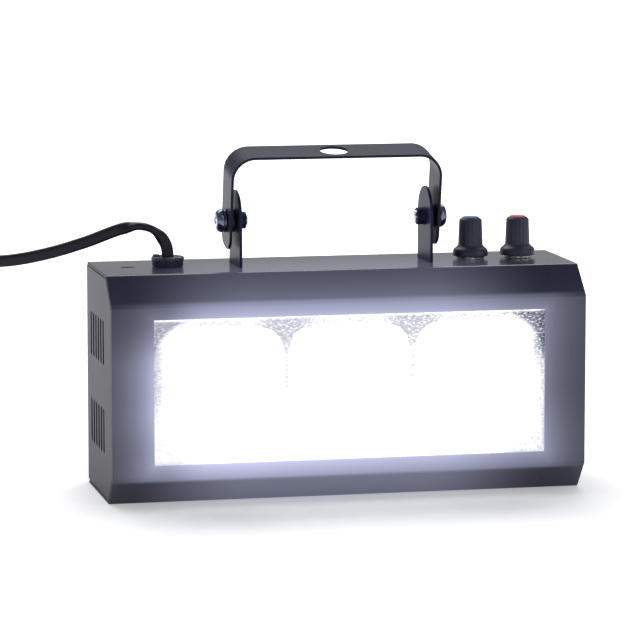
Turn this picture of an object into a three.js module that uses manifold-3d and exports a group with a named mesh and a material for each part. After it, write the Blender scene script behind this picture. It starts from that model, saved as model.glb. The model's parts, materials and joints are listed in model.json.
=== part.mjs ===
// LED strobe light: a bevelled steel housing with a window over three LED cups, a yoke that tilts
// on two brackets, two control knobs and a flat mains cord with its plug.
// Millimetres, +Z up, the window faces -Y, and the housing stands on z = 0 with its middle at x = y = 0.

import * as THREE from "three";
import { mergeVertices } from "three/addons/utils/BufferGeometryUtils.js";
import Module from "manifold-3d";

const wasm = await Module();
wasm.setup();

// Gaps and cuts
const seatGap = 0.3;
const sideGap = 0.3;
const screwGap = 0.25;
const shaftGap = 0.1;
const overrun = 5;
const degree = Math.PI / 180;

// Facets of round shapes: large ones, small ones, hidden ones and the quarter of a round corner
const roundSteps = 24;
const smallSteps = 16;
const hiddenSteps = 12;
const cornerSteps = 3;

// Housing: the folded front shell and the rear cover
const housingWidth = 200;
const housingDepth = 65.8;
const housingHeight = 94.3;
const sheet = 1.2;
const topBevelDepth = 13.5;
const topBevelHeight = 11.7;
const bottomBevelDepth = 10.4;
const bottomBevelHeight = 11.7;
const foldRadius = 2;
const rearFoldHeight = 12;
const windowEndBorder = 17.5;
const windowBevelBorder = 5.45;
const topSlotLength = 5.6;
const topSlotWidth = 2;
const topSlotInset = 13.4;

// Vent slots in both end plates
const ventColumns = 6;
const ventPitch = 6.3;
const ventWidth = 3;
const ventHeight = 18.6;
const ventGroupSpacing = 36.8;
const ventBackShift = 4.5;

// Screws that hold the rear cover
const coverScrewInset = 20;
const coverScrewHeight = 6.5;
const coverScrewRadius = 1.5;
const coverScrewHead = 2.8;
const coverScrewHeadHeight = 1.8;
const coverScrewLength = 7;

// Window pane, reflector tray and LED plate, from the front backwards
const paneThickness = 2;
const paneMargin = 3;
const traySheet = 0.8;
const trayBorder = 3.5;
const cupEndBorder = 3.7;
const cupTopBorder = 4.5;
const cupMouthRadius = 9;
const cupRidge = 2.3;
const cupBackRadius = 3;
const plateThickness = 2;
const ledBase = 24;
const ledClearance = 1.5;
const ledBaseThickness = 1.2;
const ledFaceRadius = 9;
const ledFaceHeight = 0.5;
const postRadius = 2;
const postClearance = 1;
const postInset = 6;
const postTail = 4.2;
const postNutAcross = 7;
const postNutHeight = 3.2;

// Driver board on its supports, in the middle of the bay behind the LED plate
const driverBay = 34.5;
const boardCordBorder = 22;
const boardKnobBorder = 54;
const boardWidth = 27;
const boardThickness = 1.6;
const supportHeight = 6;
const supportRadius = 3;
const supportPinRadius = 1.4;
const supportPinRise = 1.5;
const supportInset = 5;
const transformerSize = [26, 20, 22];
const capacitorRadius = 8;
const capacitorHeight = 25;
const terminalSize = [12, 9, 10];
// Places along the board as shares of its length, from its middle
const transformerShare = -0.12;
const capacitorShare = 0.2;
const terminalShare = -0.36;
const ledLeadShare = 0.06;
const controlLeadShare = 0.42;
const leadRadius = 1.6;
const leadStraight = 10;

// Yoke, its brackets and pivots
const yokeToKnob = 3.3;
const yokeStrip = 18;
const yokeSheet = 1.2;
const yokeReach = 29.5;
const yokeCorner = 10;
const yokeTail = 11.5;
const yokeEndRadius = 6.5;
const yokeHoleRadius = 6;
const yokeLean = 10.5 * degree;
const pivotRise = 18.6;
const bracketSheet = 1.2;
const bracketWidth = 22.5;
const bracketCrown = 1.5;
const bracketFoot = 12;
const bracketSlotGap = 0.5;
const collarWall = 0.75;
const collarHeight = 2;
const spacerThickness = 1.8;
const spacerRadius = 5;
const pivotRadius = 2.5;
const pivotHeadRadius = 5;
const pivotHeadHeight = 3.3;
const pivotWasherThickness = 0.8;
const pivotTail = 4.2;
const crossWidth = 1.2;
const crossSpan = 5.4;
const crossDepth = 1.7;

// Controls
const knobPitch = 20.6;
const knobInset = 18.9;
const knobLift = 1.3;
const knobHeight = 16.5;
const skirtWall = 1.2;
const skirtRim = 1.1;
const skirtHeight = 3.9;
const knobFootRadius = 5.4;
const knobHeadRadius = 4.8;
const knobChamfer = 1.3;
const fluteCount = 18;
const fluteDepth = 0.35;
const knobBoreDepth = 11;
const capWall = 0.1;
const capHeight = 1.5;
const capRise = 0.5;
const shaftRadius = 3;
const potRadius = 8.25;
const potHeight = 8;
const potFloor = 2;
const lugWidth = 1.4;
const lugLength = 5;
const lugThickness = 0.6;
const lugPitch = 5;
const bushingWall = 0.4;
const bushingRise = 5;
const potNutAcross = 10;
const potNutHeight = 2;
const potWasherRadius = 6;
const potWasherThickness = 0.5;
const controlBoardBorder = 2.5;
const controlBoardWidth = 20;

// Strain relief and mains cord
const reliefInset = 30.3;
const reliefFlange = 1.3;
const reliefHeight = 3.9;
const reliefRim = 1.6;
const reliefStep = 0.4;
const reliefChamfer = 0.6;
const reliefNeckRadius = 5.6;
const reliefBarb = 0.7;
const reliefBarbHeight = 7;
const cordRadius = 2.5;
const coilMiddle = [-192, 0];
const coilRadius = 38;
const coilTurns = 3;
const coilTurnGap = 1.5;
const coilLayerGap = 0.7;
const loopSteps = 24;
const loopSides = 6;

// Plug
const plugWidth = 35.3;
const plugThickness = 13.7;
const plugLength = 26;
const plugShoulder = 15;
const plugCorner = 4;
const bootEndRadius = 3.2;
const bootFootRadius = 5.6;
const bootLength = 14;
const pinRadius = 2;
const pinLength = 19;
const pinSocket = 4.7;
const pinSpacing = 18.6;
const plugPlace = [-262, 19];
const plugTurn = 4 * degree;

// Places that follow from the sizes above
const front = -housingDepth / 2;
const rear = housingDepth / 2;
const end = housingWidth / 2;
const middle = (bottomBevelHeight + housingHeight - topBevelHeight) / 2;
const foldFace = rear - sheet - seatGap;
const foldInside = foldFace - sheet;
const topLine = (front + topBevelDepth + rear) / 2;
const topInside = housingHeight - sheet;
const windowWidth = housingWidth - 2 * windowEndBorder;
const windowHeight = housingHeight - topBevelHeight - bottomBevelHeight - 2 * windowBevelBorder;
const paneFront = front + sheet + seatGap;
const trayFront = paneFront + paneThickness + seatGap;
const nutFront = foldInside - driverBay - postNutHeight;
const plateBack = nutFront - seatGap;
const plateFront = plateBack - plateThickness;
const trayBack = plateFront - seatGap;
const cupDepth = trayBack - trayFront;
const cupMouth = [(windowWidth - 2 * (cupEndBorder + cupRidge)) / 3, windowHeight - 2 * cupTopBorder];
const cupBack = ledBase + 2 * ledClearance;
const cupPitch = cupMouth[0] + cupRidge;
const trayHeight = windowHeight + 2 * paneMargin;
const postX = windowWidth / 2 + paneMargin + postRadius + postClearance;
const postZ = windowHeight / 2 - postInset;
const trayWidth = 2 * (postX + postRadius + trayBorder);
const boardUnder = sheet + seatGap + supportHeight;
const boardTop = boardUnder + boardThickness;
const boardY = foldInside - driverBay / 2;
const boardLength = housingWidth - boardCordBorder - boardKnobBorder;
const boardX = (boardCordBorder - boardKnobBorder) / 2;
const knobX = [end - knobInset - knobPitch, end - knobInset];
const skirtRadius = potWasherRadius + sideGap + skirtWall;
const capRadius = knobHeadRadius - knobChamfer - capWall - sideGap;
const bushingRadius = shaftRadius + shaftGap + bushingWall;
const pivotZ = housingHeight + pivotRise;
const pivotHeadReach = 2 * seatGap + pivotWasherThickness + pivotHeadHeight;
const yokeWidth = 2 * (knobX[0] - skirtRadius - yokeToKnob - pivotHeadReach);
const bracketFace = yokeWidth / 2 - yokeSheet - 2 * seatGap - spacerThickness;
const collarRadius = pivotRadius + screwGap + collarWall;
const potTop = topInside - seatGap;
const potBottom = potTop - potHeight;
const reliefX = reliefInset - end;
const reliefRadius = reliefNeckRadius + reliefFlange;
const reliefBarbRadius = reliefNeckRadius + reliefBarb;
const reliefTop = housingHeight + seatGap + reliefHeight;
const coilPitch = 2 * cordRadius + coilTurnGap;
const coilLayerRise = 2 * cordRadius + coilLayerGap;
const cordPath = [
  [-70.1, 6.75, 102.4],
  [-72.6, 6.75, 106.9],
  [-76.8, 6.75, 110.2],
  [-82.2, 6.75, 111.4],
  [-89.5, 6.75, 110.3],
  [-104.1, 6.75, 105.3],
  [-120.4, 6.75, 100.9],
  [-136.5, 6.75, 98.4],
  [-154, 6, 98.6],
  [-174, 3, 97.6],
  [-196, -4, 90.5],
  [-214, -13, 76],
  [-224, -22, 57],
  [-224, -30, 37],
  [-215, -35.5, 20],
  [-204, -37.6, 11.4],
];
const tailPath = [
  [-205, 37.2, 2.6],
  [-214, 34.6, 2.7],
  [-223, 30.5, 3],
  [-232, 26, 4],
];

// Geometry helpers

// A closed three.js geometry as a solid, facing outwards.
function solid(geometry) {
  const bare = geometry.clone();
  bare.deleteAttribute("normal");
  bare.deleteAttribute("uv");
  const welded = mergeVertices(bare);
  const corners = welded.attributes.position;
  const [a, b, c] = [new THREE.Vector3(), new THREE.Vector3(), new THREE.Vector3()];
  const triangles = [];
  let volume = 0;
  for (let i = 0; i < welded.index.count; i += 3) {
    const triangle = [0, 1, 2].map((k) => welded.index.getX(i + k));
    if (new Set(triangle).size < 3) continue;
    a.fromBufferAttribute(corners, triangle[0]);
    b.fromBufferAttribute(corners, triangle[1]);
    c.fromBufferAttribute(corners, triangle[2]);
    volume += a.dot(b.cross(c));
    triangles.push(triangle);
  }
  const facing = volume > 0 ? triangles : triangles.map(([i, j, k]) => [i, k, j]);
  return new wasm.Manifold(new wasm.Mesh({
    numProp: 3,
    vertProperties: new Float32Array(corners.array),
    triVerts: new Uint32Array(facing.flat()),
  }));
}

// The solid as a faceted geometry.
function faceted(body) {
  const mesh = body.getMesh();
  const geometry = new THREE.BufferGeometry();
  geometry.setAttribute("position", new THREE.BufferAttribute(new Float32Array(mesh.vertProperties), 3));
  geometry.setIndex(new THREE.BufferAttribute(new Uint32Array(mesh.triVerts), 1));
  const flat = geometry.toNonIndexed();
  flat.computeVertexNormals();
  return flat;
}

const joined = (...shapes) => shapes.map(solid).reduce((whole, next) => whole.add(next));
const cut = (body, ...cutters) => cutters.map(solid).reduce((rest, next) => rest.subtract(next), body);

// Local x, y and z of an outline and its thickness, laid along the object's axes.
const layings = {
  x: new THREE.Matrix4().set(0, 0, 1, 0, 1, 0, 0, 0, 0, 1, 0, 0, 0, 0, 0, 1),
  y: new THREE.Matrix4().set(1, 0, 0, 0, 0, 0, -1, 0, 0, 1, 0, 0, 0, 0, 0, 1),
  z: new THREE.Matrix4(),
};

// An outline in the plane across an axis, thickened along that axis between two places.
function extruded(axis, outline, one, other) {
  const from = Math.min(one, other);
  const to = Math.max(one, other);
  const options = { depth: to - from, bevelEnabled: false };
  const geometry = new THREE.ExtrudeGeometry(new THREE.Shape(outline), options);
  geometry.translate(0, 0, axis === "y" ? -to : from);
  return geometry.applyMatrix4(layings[axis]);
}

// A profile of [radius, place along the axis] turned about the x, y or z axis.
function turned(axis, profile, steps = roundSteps) {
  const points = profile.map(([radius, along]) => new THREE.Vector2(radius, along));
  const geometry = new THREE.LatheGeometry(points, steps);
  if (axis === "x") geometry.rotateZ(-Math.PI / 2);
  if (axis === "z") geometry.rotateX(Math.PI / 2);
  return geometry;
}

const rod = (axis, radius, from, to, steps = roundSteps) =>
  turned(axis, [[0, from], [radius, from], [radius, to], [0, to]], steps);

function block([x0, x1], [y0, y1], [z0, z1]) {
  const geometry = new THREE.BoxGeometry(Math.abs(x1 - x0), Math.abs(y1 - y0), Math.abs(z1 - z0));
  return geometry.translate((x0 + x1) / 2, (y0 + y1) / 2, (z0 + z1) / 2);
}

const spread = (centre, size) => [centre - size / 2, centre + size / 2];

// Points of an arc about a centre, both ends included.
function arc(x, y, radius, from, to, steps = cornerSteps) {
  return Array.from({ length: steps + 1 }, (_, i) => {
    const angle = from + (to - from) * i / steps;
    return new THREE.Vector2(x + radius * Math.cos(angle), y + radius * Math.sin(angle));
  });
}

// A rectangle about the origin with round corners.
function roundedRectangle(width, height, radius) {
  const x = width / 2 - radius;
  const y = height / 2 - radius;
  return [[x, -y, -1], [x, y, 0], [-x, y, 1], [-x, -y, 2]].flatMap(([cx, cy, quarter]) =>
    arc(cx, cy, radius, quarter * Math.PI / 2, (quarter + 1) * Math.PI / 2));
}

// A slot with round ends about the origin, longer along its first or its second direction.
function obround(width, height) {
  const radius = Math.min(width, height) / 2;
  const x = width / 2 - radius;
  const y = height / 2 - radius;
  const start = width > height ? -Math.PI / 2 : 0;
  const half = start + Math.PI;
  return [...arc(x, y, radius, start, half), ...arc(-x, -y, radius, half, half + Math.PI)];
}

const shifted = (outline, x, y) => outline.map((point) => new THREE.Vector2(point.x + x, point.y + y));
const points = (pairs) => pairs.map(([x, y]) => new THREE.Vector2(x, y));

// A convex outline, counter-clockwise, drawn in by a distance on every side.
function drawnIn(outline, distance) {
  return outline.map((point, i) => {
    const before = outline.at(i - 1);
    const after = outline[(i + 1) % outline.length];
    const arriving = point.clone().sub(before).normalize();
    const leaving = after.clone().sub(point).normalize();
    const inwards = new THREE.Vector2(-arriving.y - leaving.y, arriving.x + leaving.x);
    return point.clone().addScaledVector(inwards, distance / (1 + arriving.dot(leaving)));
  });
}

// A solid between two rounded rectangles, from one place along y to another.
function funnel(sizeAt, from, to) {
  const rings = [from, to].map((y) => {
    const { width, height, radius } = sizeAt(y);
    return roundedRectangle(width, height, radius).map((point) => [point.x, y, point.y]);
  });
  const count = rings[0].length;
  const positions = [...rings[0], ...rings[1], [0, from, 0], [0, to, 0]];
  const faces = [];
  for (let i = 0; i < count; i += 1) {
    const next = (i + 1) % count;
    faces.push([i, next, count + next], [i, count + next, count + i]);
    faces.push([next, i, 2 * count], [count + i, count + next, 2 * count + 1]);
  }
  const geometry = new THREE.BufferGeometry();
  geometry.setAttribute("position", new THREE.Float32BufferAttribute(positions.flat(), 3));
  geometry.setIndex(faces.flat());
  return geometry;
}

// A round tube of a number of sides along a curve.
function tube(curve, radius, sides, steps) {
  const section = new THREE.Shape(arc(0, 0, radius, 0, 2 * Math.PI * (1 - 1 / sides), sides - 1));
  return new THREE.ExtrudeGeometry(section, { steps, extrudePath: curve, bevelEnabled: false });
}

const smoothCurve = (places) => new THREE.CatmullRomCurve3(places, false, "centripetal");

// A hexagonal nut with its hole, between two places along an axis.
function nut(axis, across, hole, from, to) {
  const corner = across / 2 / Math.cos(Math.PI / 6);
  const bore = rod(axis, hole, from - overrun, to + overrun, hiddenSteps);
  return cut(solid(rod(axis, corner, from, to, 6)), bore);
}

function ring(axis, radius, hole, from, to) {
  return solid(turned(axis, [[hole, from], [radius, from], [radius, to], [hole, to], [hole, from]]));
}

// A screw with a domed head and a cross recess. Its head stands on a place along the axis, to the side
// that the heading of 1 or -1 gives, and its shank runs the other way.
const headShares = [[0, 1], [0.5, 0.96], [0.8, 0.78], [0.96, 0.45], [1, 0]];
function screw(axis, heading, place, head, headHeight, radius, length, recess) {
  const profile = headShares.map(([across, up]) => [head * across, place + heading * headHeight * up]);
  profile.push([radius, place], [radius, place - heading * length], [0, place - heading * length]);
  const top = place + heading * headHeight;
  const depth = [top - heading * recess.depth, top + heading * overrun];
  const [wide, narrow] = [spread(0, recess.span), spread(0, recess.width)];
  const bars = axis === "x"
    ? [block(depth, wide, narrow), block(depth, narrow, wide)]
    : [block(wide, depth, narrow), block(narrow, depth, wide)];
  return cut(solid(turned(axis, profile, smallSteps)), ...bars);
}

// Materials
const paint = new THREE.MeshStandardMaterial({ color: 0x2b2d38, roughness: 0.35, metalness: 0.3 });
const steel = new THREE.MeshStandardMaterial({ color: 0xb8bcc2, roughness: 0.3, metalness: 1 });
const darkSteel = new THREE.MeshStandardMaterial({ color: 0x3a3a40, roughness: 0.3, metalness: 1 });
const aluminium = new THREE.MeshStandardMaterial({ color: 0xd4d7db, roughness: 0.25, metalness: 1 });
const clear = new THREE.MeshStandardMaterial({
  color: 0xffffff,
  roughness: 0.05,
  transparent: true,
  opacity: 0.2,
});
const ledWhite = new THREE.MeshStandardMaterial({ color: 0xffffff, emissive: 0xf4f6ff, roughness: 0.5 });
const boardGreen = new THREE.MeshStandardMaterial({ color: 0x1f5a36, roughness: 0.6 });
const blackPlastic = new THREE.MeshStandardMaterial({ color: 0x24242b, roughness: 0.5 });
const cordPlastic = new THREE.MeshStandardMaterial({ color: 0x1a1a20, roughness: 0.45 });
const copperWrap = new THREE.MeshStandardMaterial({ color: 0xc9a23a, roughness: 0.5 });
const blueCap = new THREE.MeshStandardMaterial({ color: 0x2f5f86, roughness: 0.4 });
const redCap = new THREE.MeshStandardMaterial({ color: 0xd8605a, roughness: 0.4 });
const brass = new THREE.MeshStandardMaterial({ color: 0xcdb27a, roughness: 0.25, metalness: 1 });

const strobe = new THREE.Group();

function add(name, body, material, parent = strobe) {
  const mesh = new THREE.Mesh(faceted(body), material);
  mesh.name = name;
  parent.add(mesh);
  return mesh;
}

// Housing

const coverScrewPlaces = [-1, 1].flatMap((side) =>
  [coverScrewHeight, housingHeight - coverScrewHeight].map((z) => [side * (end - coverScrewInset), z]));

// Clearance holes for the cover's screws, round a place along y.
const coverScrewHoles = (place) => coverScrewPlaces.map(([x, z]) => {
  const hole = rod("y", coverScrewRadius + screwGap, place - overrun, place + overrun, hiddenSteps);
  return hole.translate(x, 0, z);
});

// The housing seen from its end, in y and z, with square or round rear corners.
function endOutline(rearFace, radius) {
  const top = housingHeight;
  const roundCorners = [
    ...arc(rearFace - radius, radius, radius, -Math.PI / 2, 0),
    ...arc(rearFace - radius, top - radius, radius, 0, Math.PI / 2),
  ];
  return [
    ...points([[front + bottomBevelDepth, 0]]),
    ...(radius > 0 ? roundCorners : points([[rearFace, 0], [rearFace, top]])),
    ...points([[front + topBevelDepth, top], [front, top - topBevelHeight], [front, bottomBevelHeight]]),
  ];
}

function frontShell() {
  const outline = endOutline(foldFace, foldRadius);
  const width = [-end, end];
  const throughX = [-end - overrun, end + overrun];
  const inside = extruded("x", drawnIn(outline, sheet), ...throughX);
  let shell = cut(solid(extruded("x", outline, ...width)), inside);
  const foldOpening = [rearFoldHeight, housingHeight - rearFoldHeight];
  shell = cut(shell, block(throughX, [foldFace - foldRadius, rear + overrun], foldOpening));
  const wall = [front - overrun, paneFront];
  const roof = [topInside - overrun, housingHeight + overrun];
  shell = cut(shell, block(spread(0, windowWidth), wall, spread(middle, windowHeight)));
  for (const side of [-1, 1]) {
    const notch = [side * (end - sheet - sideGap), side * (end + overrun)];
    const foldEnd = [side * (end - sheet - foldRadius), side * (end + overrun)];
    const bracketSlot = spread(side * (bracketFace - bracketSheet / 2), bracketSheet + 2 * bracketSlotGap);
    shell = cut(
      shell,
      block(notch, [foldFace - foldRadius, rear + overrun], [-overrun, housingHeight + overrun]),
      block(foldEnd, [foldInside - seatGap, rear + overrun], [foldRadius, housingHeight - foldRadius]),
      block(bracketSlot, spread(topLine, bracketWidth + 2 * bracketSlotGap), roof),
    );
  }
  for (const x of knobX) {
    shell = cut(shell, rod("z", bushingRadius + sideGap, ...roof, smallSteps).translate(x, topLine, 0));
  }
  const topSlot = shifted(obround(topSlotLength, topSlotWidth), topSlotInset - end, topLine);
  const reliefHole = rod("z", reliefNeckRadius + sideGap, ...roof, smallSteps);
  shell = cut(shell, extruded("z", topSlot, ...roof), reliefHole.translate(reliefX, topLine, 0));
  return cut(shell, ...coverScrewHoles(foldInside));
}

// A back plate and two end plates that slide between the shell's top, bevels and bottom.
function rearCover() {
  const fit = sheet + sideGap;
  const profile = drawnIn(endOutline(rear + fit, 0), fit);
  const bend = (halfWidth, back, radius) => [
    ...points([[-halfWidth, front - overrun], [halfWidth, front - overrun]]),
    ...arc(halfWidth - radius, back - radius, radius, 0, Math.PI / 2),
    ...arc(radius - halfWidth, back - radius, radius, Math.PI / 2, Math.PI),
  ];
  const height = [-overrun, housingHeight + overrun];
  const outside = solid(extruded("z", bend(end, rear, foldRadius), ...height));
  const bent = cut(outside, extruded("z", bend(end - sheet, rear - sheet, foldRadius - sheet), ...height));
  const cover = bent.intersect(solid(extruded("x", profile, -end - overrun, end + overrun)));
  const vents = [];
  for (const group of [-1, 1]) {
    for (let column = 0; column < ventColumns; column += 1) {
      const y = ventBackShift + (column - (ventColumns - 1) / 2) * ventPitch;
      const slot = shifted(obround(ventWidth, ventHeight), y, middle + group * ventGroupSpacing / 2);
      vents.push(extruded("x", slot, -end - overrun, end + overrun));
    }
  }
  return cut(cover, ...vents, ...coverScrewHoles(rear));
}

add("front_shell", frontShell(), paint);
add("rear_cover", rearCover(), paint);
coverScrewPlaces.forEach(([x, z], i) => {
  const size = [coverScrewHead, coverScrewHeadHeight, coverScrewRadius, coverScrewLength];
  const recess = {
    width: crossWidth * coverScrewHead / pivotHeadRadius,
    span: coverScrewHead,
    depth: coverScrewHeadHeight / 2,
  };
  const body = screw("y", 1, rear + seatGap, ...size, recess);
  add(`cover_screw_${i + 1}`, body, steel).position.set(x, 0, z);
});

// Optics

const postPlaces = [-1, 1].flatMap((side) => [-1, 1].map((level) => [side * postX, middle + level * postZ]));
const postHoles = (from, to) => postPlaces.map(([x, z]) =>
  rod("y", postRadius + sideGap, from - overrun, to + overrun, hiddenSteps).translate(x, 0, z));

function windowPane() {
  const size = [windowWidth + 2 * paneMargin, windowHeight + 2 * paneMargin];
  return solid(block(spread(0, size[0]), [paneFront, paneFront + paneThickness], spread(middle, size[1])));
}

function reflectorTray() {
  const inside = (y) => {
    const share = (y - trayFront) / cupDepth;
    const between = (mouth, back) => mouth + (back - mouth) * share;
    return {
      width: between(cupMouth[0], cupBack),
      height: between(cupMouth[1], cupBack),
      radius: between(cupMouthRadius, cupBackRadius),
    };
  };
  const outside = (y) => {
    const { width, height, radius } = inside(y);
    return { width: width + 2 * traySheet, height: height + 2 * traySheet, radius: radius + traySheet };
  };
  const flange = block(spread(0, trayWidth), [trayFront, trayFront + traySheet], spread(middle, trayHeight));
  let tray = cut(solid(flange), ...postHoles(trayFront, trayFront));
  const cups = [-1, 0, 1].map((cup) => cup * cupPitch);
  for (const x of cups) tray = tray.add(solid(funnel(outside, trayFront, trayBack).translate(x, 0, middle)));
  for (const x of cups) {
    tray = cut(tray, funnel(inside, trayFront - traySheet, trayBack + traySheet).translate(x, 0, middle));
  }
  return tray;
}

function ledModule() {
  const back = plateFront - seatGap;
  const face = back - ledBaseThickness;
  return joined(
    block(spread(0, ledBase), [face, back], spread(middle, ledBase)),
    rod("y", ledFaceRadius, face - ledFaceHeight, back, smallSteps).translate(0, 0, middle),
  );
}

add("window_pane", windowPane(), clear);
add("reflector_tray", reflectorTray(), aluminium);
const plate = block(spread(0, trayWidth), [plateFront, plateBack], spread(middle, trayHeight));
add("led_plate", cut(solid(plate), ...postHoles(plateFront, plateBack)), aluminium);
["led_left", "led_centre", "led_right"].forEach((name, i) => {
  add(name, ledModule(), ledWhite).position.set((i - 1) * cupPitch, 0, 0);
});
postPlaces.forEach(([x, z], i) => {
  const post = rod("y", postRadius, paneFront, nutFront + postTail, hiddenSteps);
  add(`plate_post_${i + 1}`, solid(post), steel).position.set(x, 0, z);
  const holder = nut("y", postNutAcross, postRadius + screwGap, nutFront, nutFront + postNutHeight);
  add(`plate_nut_${i + 1}`, holder, steel).position.set(x, 0, z);
});

// Driver board and its parts

const supportPlaces = [-1, 1].flatMap((side) => [-1, 1].map((level) =>
  [boardX + side * (boardLength / 2 - supportInset), boardY + level * (boardWidth / 2 - supportInset)]));
const onBoard = (share) => boardX + boardLength * share;

function driverBoard() {
  const board = block(spread(boardX, boardLength), spread(boardY, boardWidth), [boardUnder, boardTop]);
  const height = [boardUnder - overrun, boardTop + overrun];
  return cut(solid(board), ...supportPlaces.map(([x, y]) =>
    rod("z", supportPinRadius + sideGap, ...height, hiddenSteps).translate(x, y, 0)));
}

function boxOnBoard([length, width, height], share) {
  const bottom = boardTop + seatGap;
  return solid(block(spread(onBoard(share), length), spread(boardY, width), [bottom, bottom + height]));
}

add("driver_board", driverBoard(), boardGreen);
add("driver_transformer", boxOnBoard(transformerSize, transformerShare), copperWrap);
const capacitor = rod("z", capacitorRadius, 0, capacitorHeight, smallSteps);
add("driver_capacitor", solid(capacitor), blackPlastic)
  .position.set(onBoard(capacitorShare), boardY, boardTop + seatGap);
add("driver_terminal", boxOnBoard(terminalSize, terminalShare), boardGreen);
supportPlaces.forEach(([x, y], i) => {
  const shoulder = boardUnder - seatGap;
  const bottom = sheet + seatGap;
  const top = boardTop + supportPinRise;
  const profile = [
    [0, bottom], [supportRadius, bottom], [supportRadius, shoulder],
    [supportPinRadius, shoulder], [supportPinRadius, top], [0, top],
  ];
  add(`board_support_${i + 1}`, solid(turned("z", profile, hiddenSteps)), blackPlastic).position.set(x, y, 0);
});

// Yoke and its pivots

// A flat-bottomed arch in x and z.
function archOutline(halfWidth, top, bottom, radius) {
  return [
    ...points([[-halfWidth, bottom], [halfWidth, bottom]]),
    ...arc(halfWidth - radius, top - radius, radius, 0, Math.PI / 2, 2 * cornerSteps),
    ...arc(radius - halfWidth, top - radius, radius, Math.PI / 2, Math.PI, 2 * cornerSteps),
  ];
}

function yokeStrap() {
  const half = yokeStrip / 2;
  const across = [-half - overrun, half + overrun];
  const arch = (inset, bottom) =>
    archOutline(yokeWidth / 2 - inset, yokeReach - inset, bottom, yokeCorner - inset);
  const outer = arch(0, -yokeTail - overrun);
  const inner = arch(yokeSheet, -yokeTail - 2 * overrun);
  const strap = cut(solid(extruded("y", outer, ...across)), extruded("y", inner, ...across));
  const side = [
    ...arc(yokeEndRadius - half, yokeEndRadius - yokeTail, yokeEndRadius, Math.PI, 1.5 * Math.PI),
    ...arc(half - yokeEndRadius, yokeEndRadius - yokeTail, yokeEndRadius, 1.5 * Math.PI, 2 * Math.PI),
    ...points([[half, yokeReach + overrun], [-half, yokeReach + overrun]]),
  ];
  const reach = yokeWidth / 2 + overrun;
  return cut(
    strap.intersect(solid(extruded("x", side, -reach, reach))),
    rod("x", pivotRadius + screwGap, -reach, reach),
    rod("z", yokeHoleRadius, yokeReach - yokeSheet - overrun, yokeReach + overrun),
  );
}

const yokeGroup = new THREE.Group();
yokeGroup.position.set(0, topLine, pivotZ);
yokeGroup.rotation.x = yokeLean;
strobe.add(yokeGroup);
add("yoke", yokeStrap(), paint, yokeGroup);

// An upright with a round top, a foot under the housing's top sheet and a drawn collar for the pivot screw.
function bracket(side) {
  const half = bracketWidth / 2;
  const footTop = topInside - seatGap;
  const footBottom = footTop - bracketSheet;
  const crown = pivotRise + bracketCrown + housingHeight;
  const outline = [
    ...points([[topLine - half, footBottom], [topLine + half, footBottom]]),
    ...arc(topLine, crown, half, 0, Math.PI, 3 * cornerSteps),
  ];
  const face = side * bracketFace;
  const inside = side * (bracketFace - bracketSheet);
  const footEnd = side * (bracketFace - bracketFoot);
  const foot = block([face, footEnd], spread(topLine, bracketWidth), [footBottom, footTop]);
  const collar = rod("x", collarRadius, inside - side * collarHeight, face);
  const hole = rod("x", pivotRadius + screwGap, -overrun - bracketFace, overrun + bracketFace);
  return cut(
    joined(extruded("x", outline, inside, face), foot, collar.translate(0, topLine, pivotZ)),
    hole.translate(0, topLine, pivotZ),
  );
}

const pivotRecess = { width: crossWidth, span: crossSpan, depth: crossDepth };
for (const [name, side] of [["left", -1], ["right", 1]]) {
  const arm = yokeWidth / 2;
  const washerInside = arm + seatGap;
  const headUnder = washerInside + pivotWasherThickness + seatGap;
  const shank = headUnder - bracketFace + bracketSheet + pivotTail;
  add(`bracket_${name}`, bracket(side), paint);
  const size = [pivotHeadRadius, pivotHeadHeight, pivotRadius, shank];
  const bolt = screw("x", side, side * headUnder, ...size, pivotRecess);
  const hole = pivotRadius + screwGap;
  const spacerInside = bracketFace + seatGap;
  const washerFaces = [side * washerInside, side * (washerInside + pivotWasherThickness)];
  const washer = ring("x", pivotHeadRadius, hole, ...washerFaces);
  const spacer = ring("x", spacerRadius, hole, side * spacerInside, side * (spacerInside + spacerThickness));
  add(`pivot_screw_${name}`, bolt, darkSteel).position.set(0, topLine, pivotZ);
  add(`pivot_washer_${name}`, washer, darkSteel).position.set(0, topLine, pivotZ);
  add(`pivot_spacer_${name}`, spacer, blackPlastic).position.set(0, topLine, pivotZ);
}

// Controls

// A fluted, tapered prism that stands on z = 0.
function flutedBody(footRadius, headRadius, height) {
  const outline = Array.from({ length: 2 * fluteCount }, (_, i) => {
    const radius = footRadius - (i % 2) * fluteDepth;
    const angle = i * Math.PI / fluteCount;
    return new THREE.Vector2(radius * Math.cos(angle), radius * Math.sin(angle));
  });
  const geometry = extruded("z", outline, 0, height);
  const place = geometry.attributes.position;
  for (let i = 0; i < place.count; i += 1) {
    const shrink = 1 + (headRadius / footRadius - 1) * place.getZ(i) / height;
    place.setXY(i, place.getX(i) * shrink, place.getY(i) * shrink);
  }
  return geometry;
}

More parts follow.
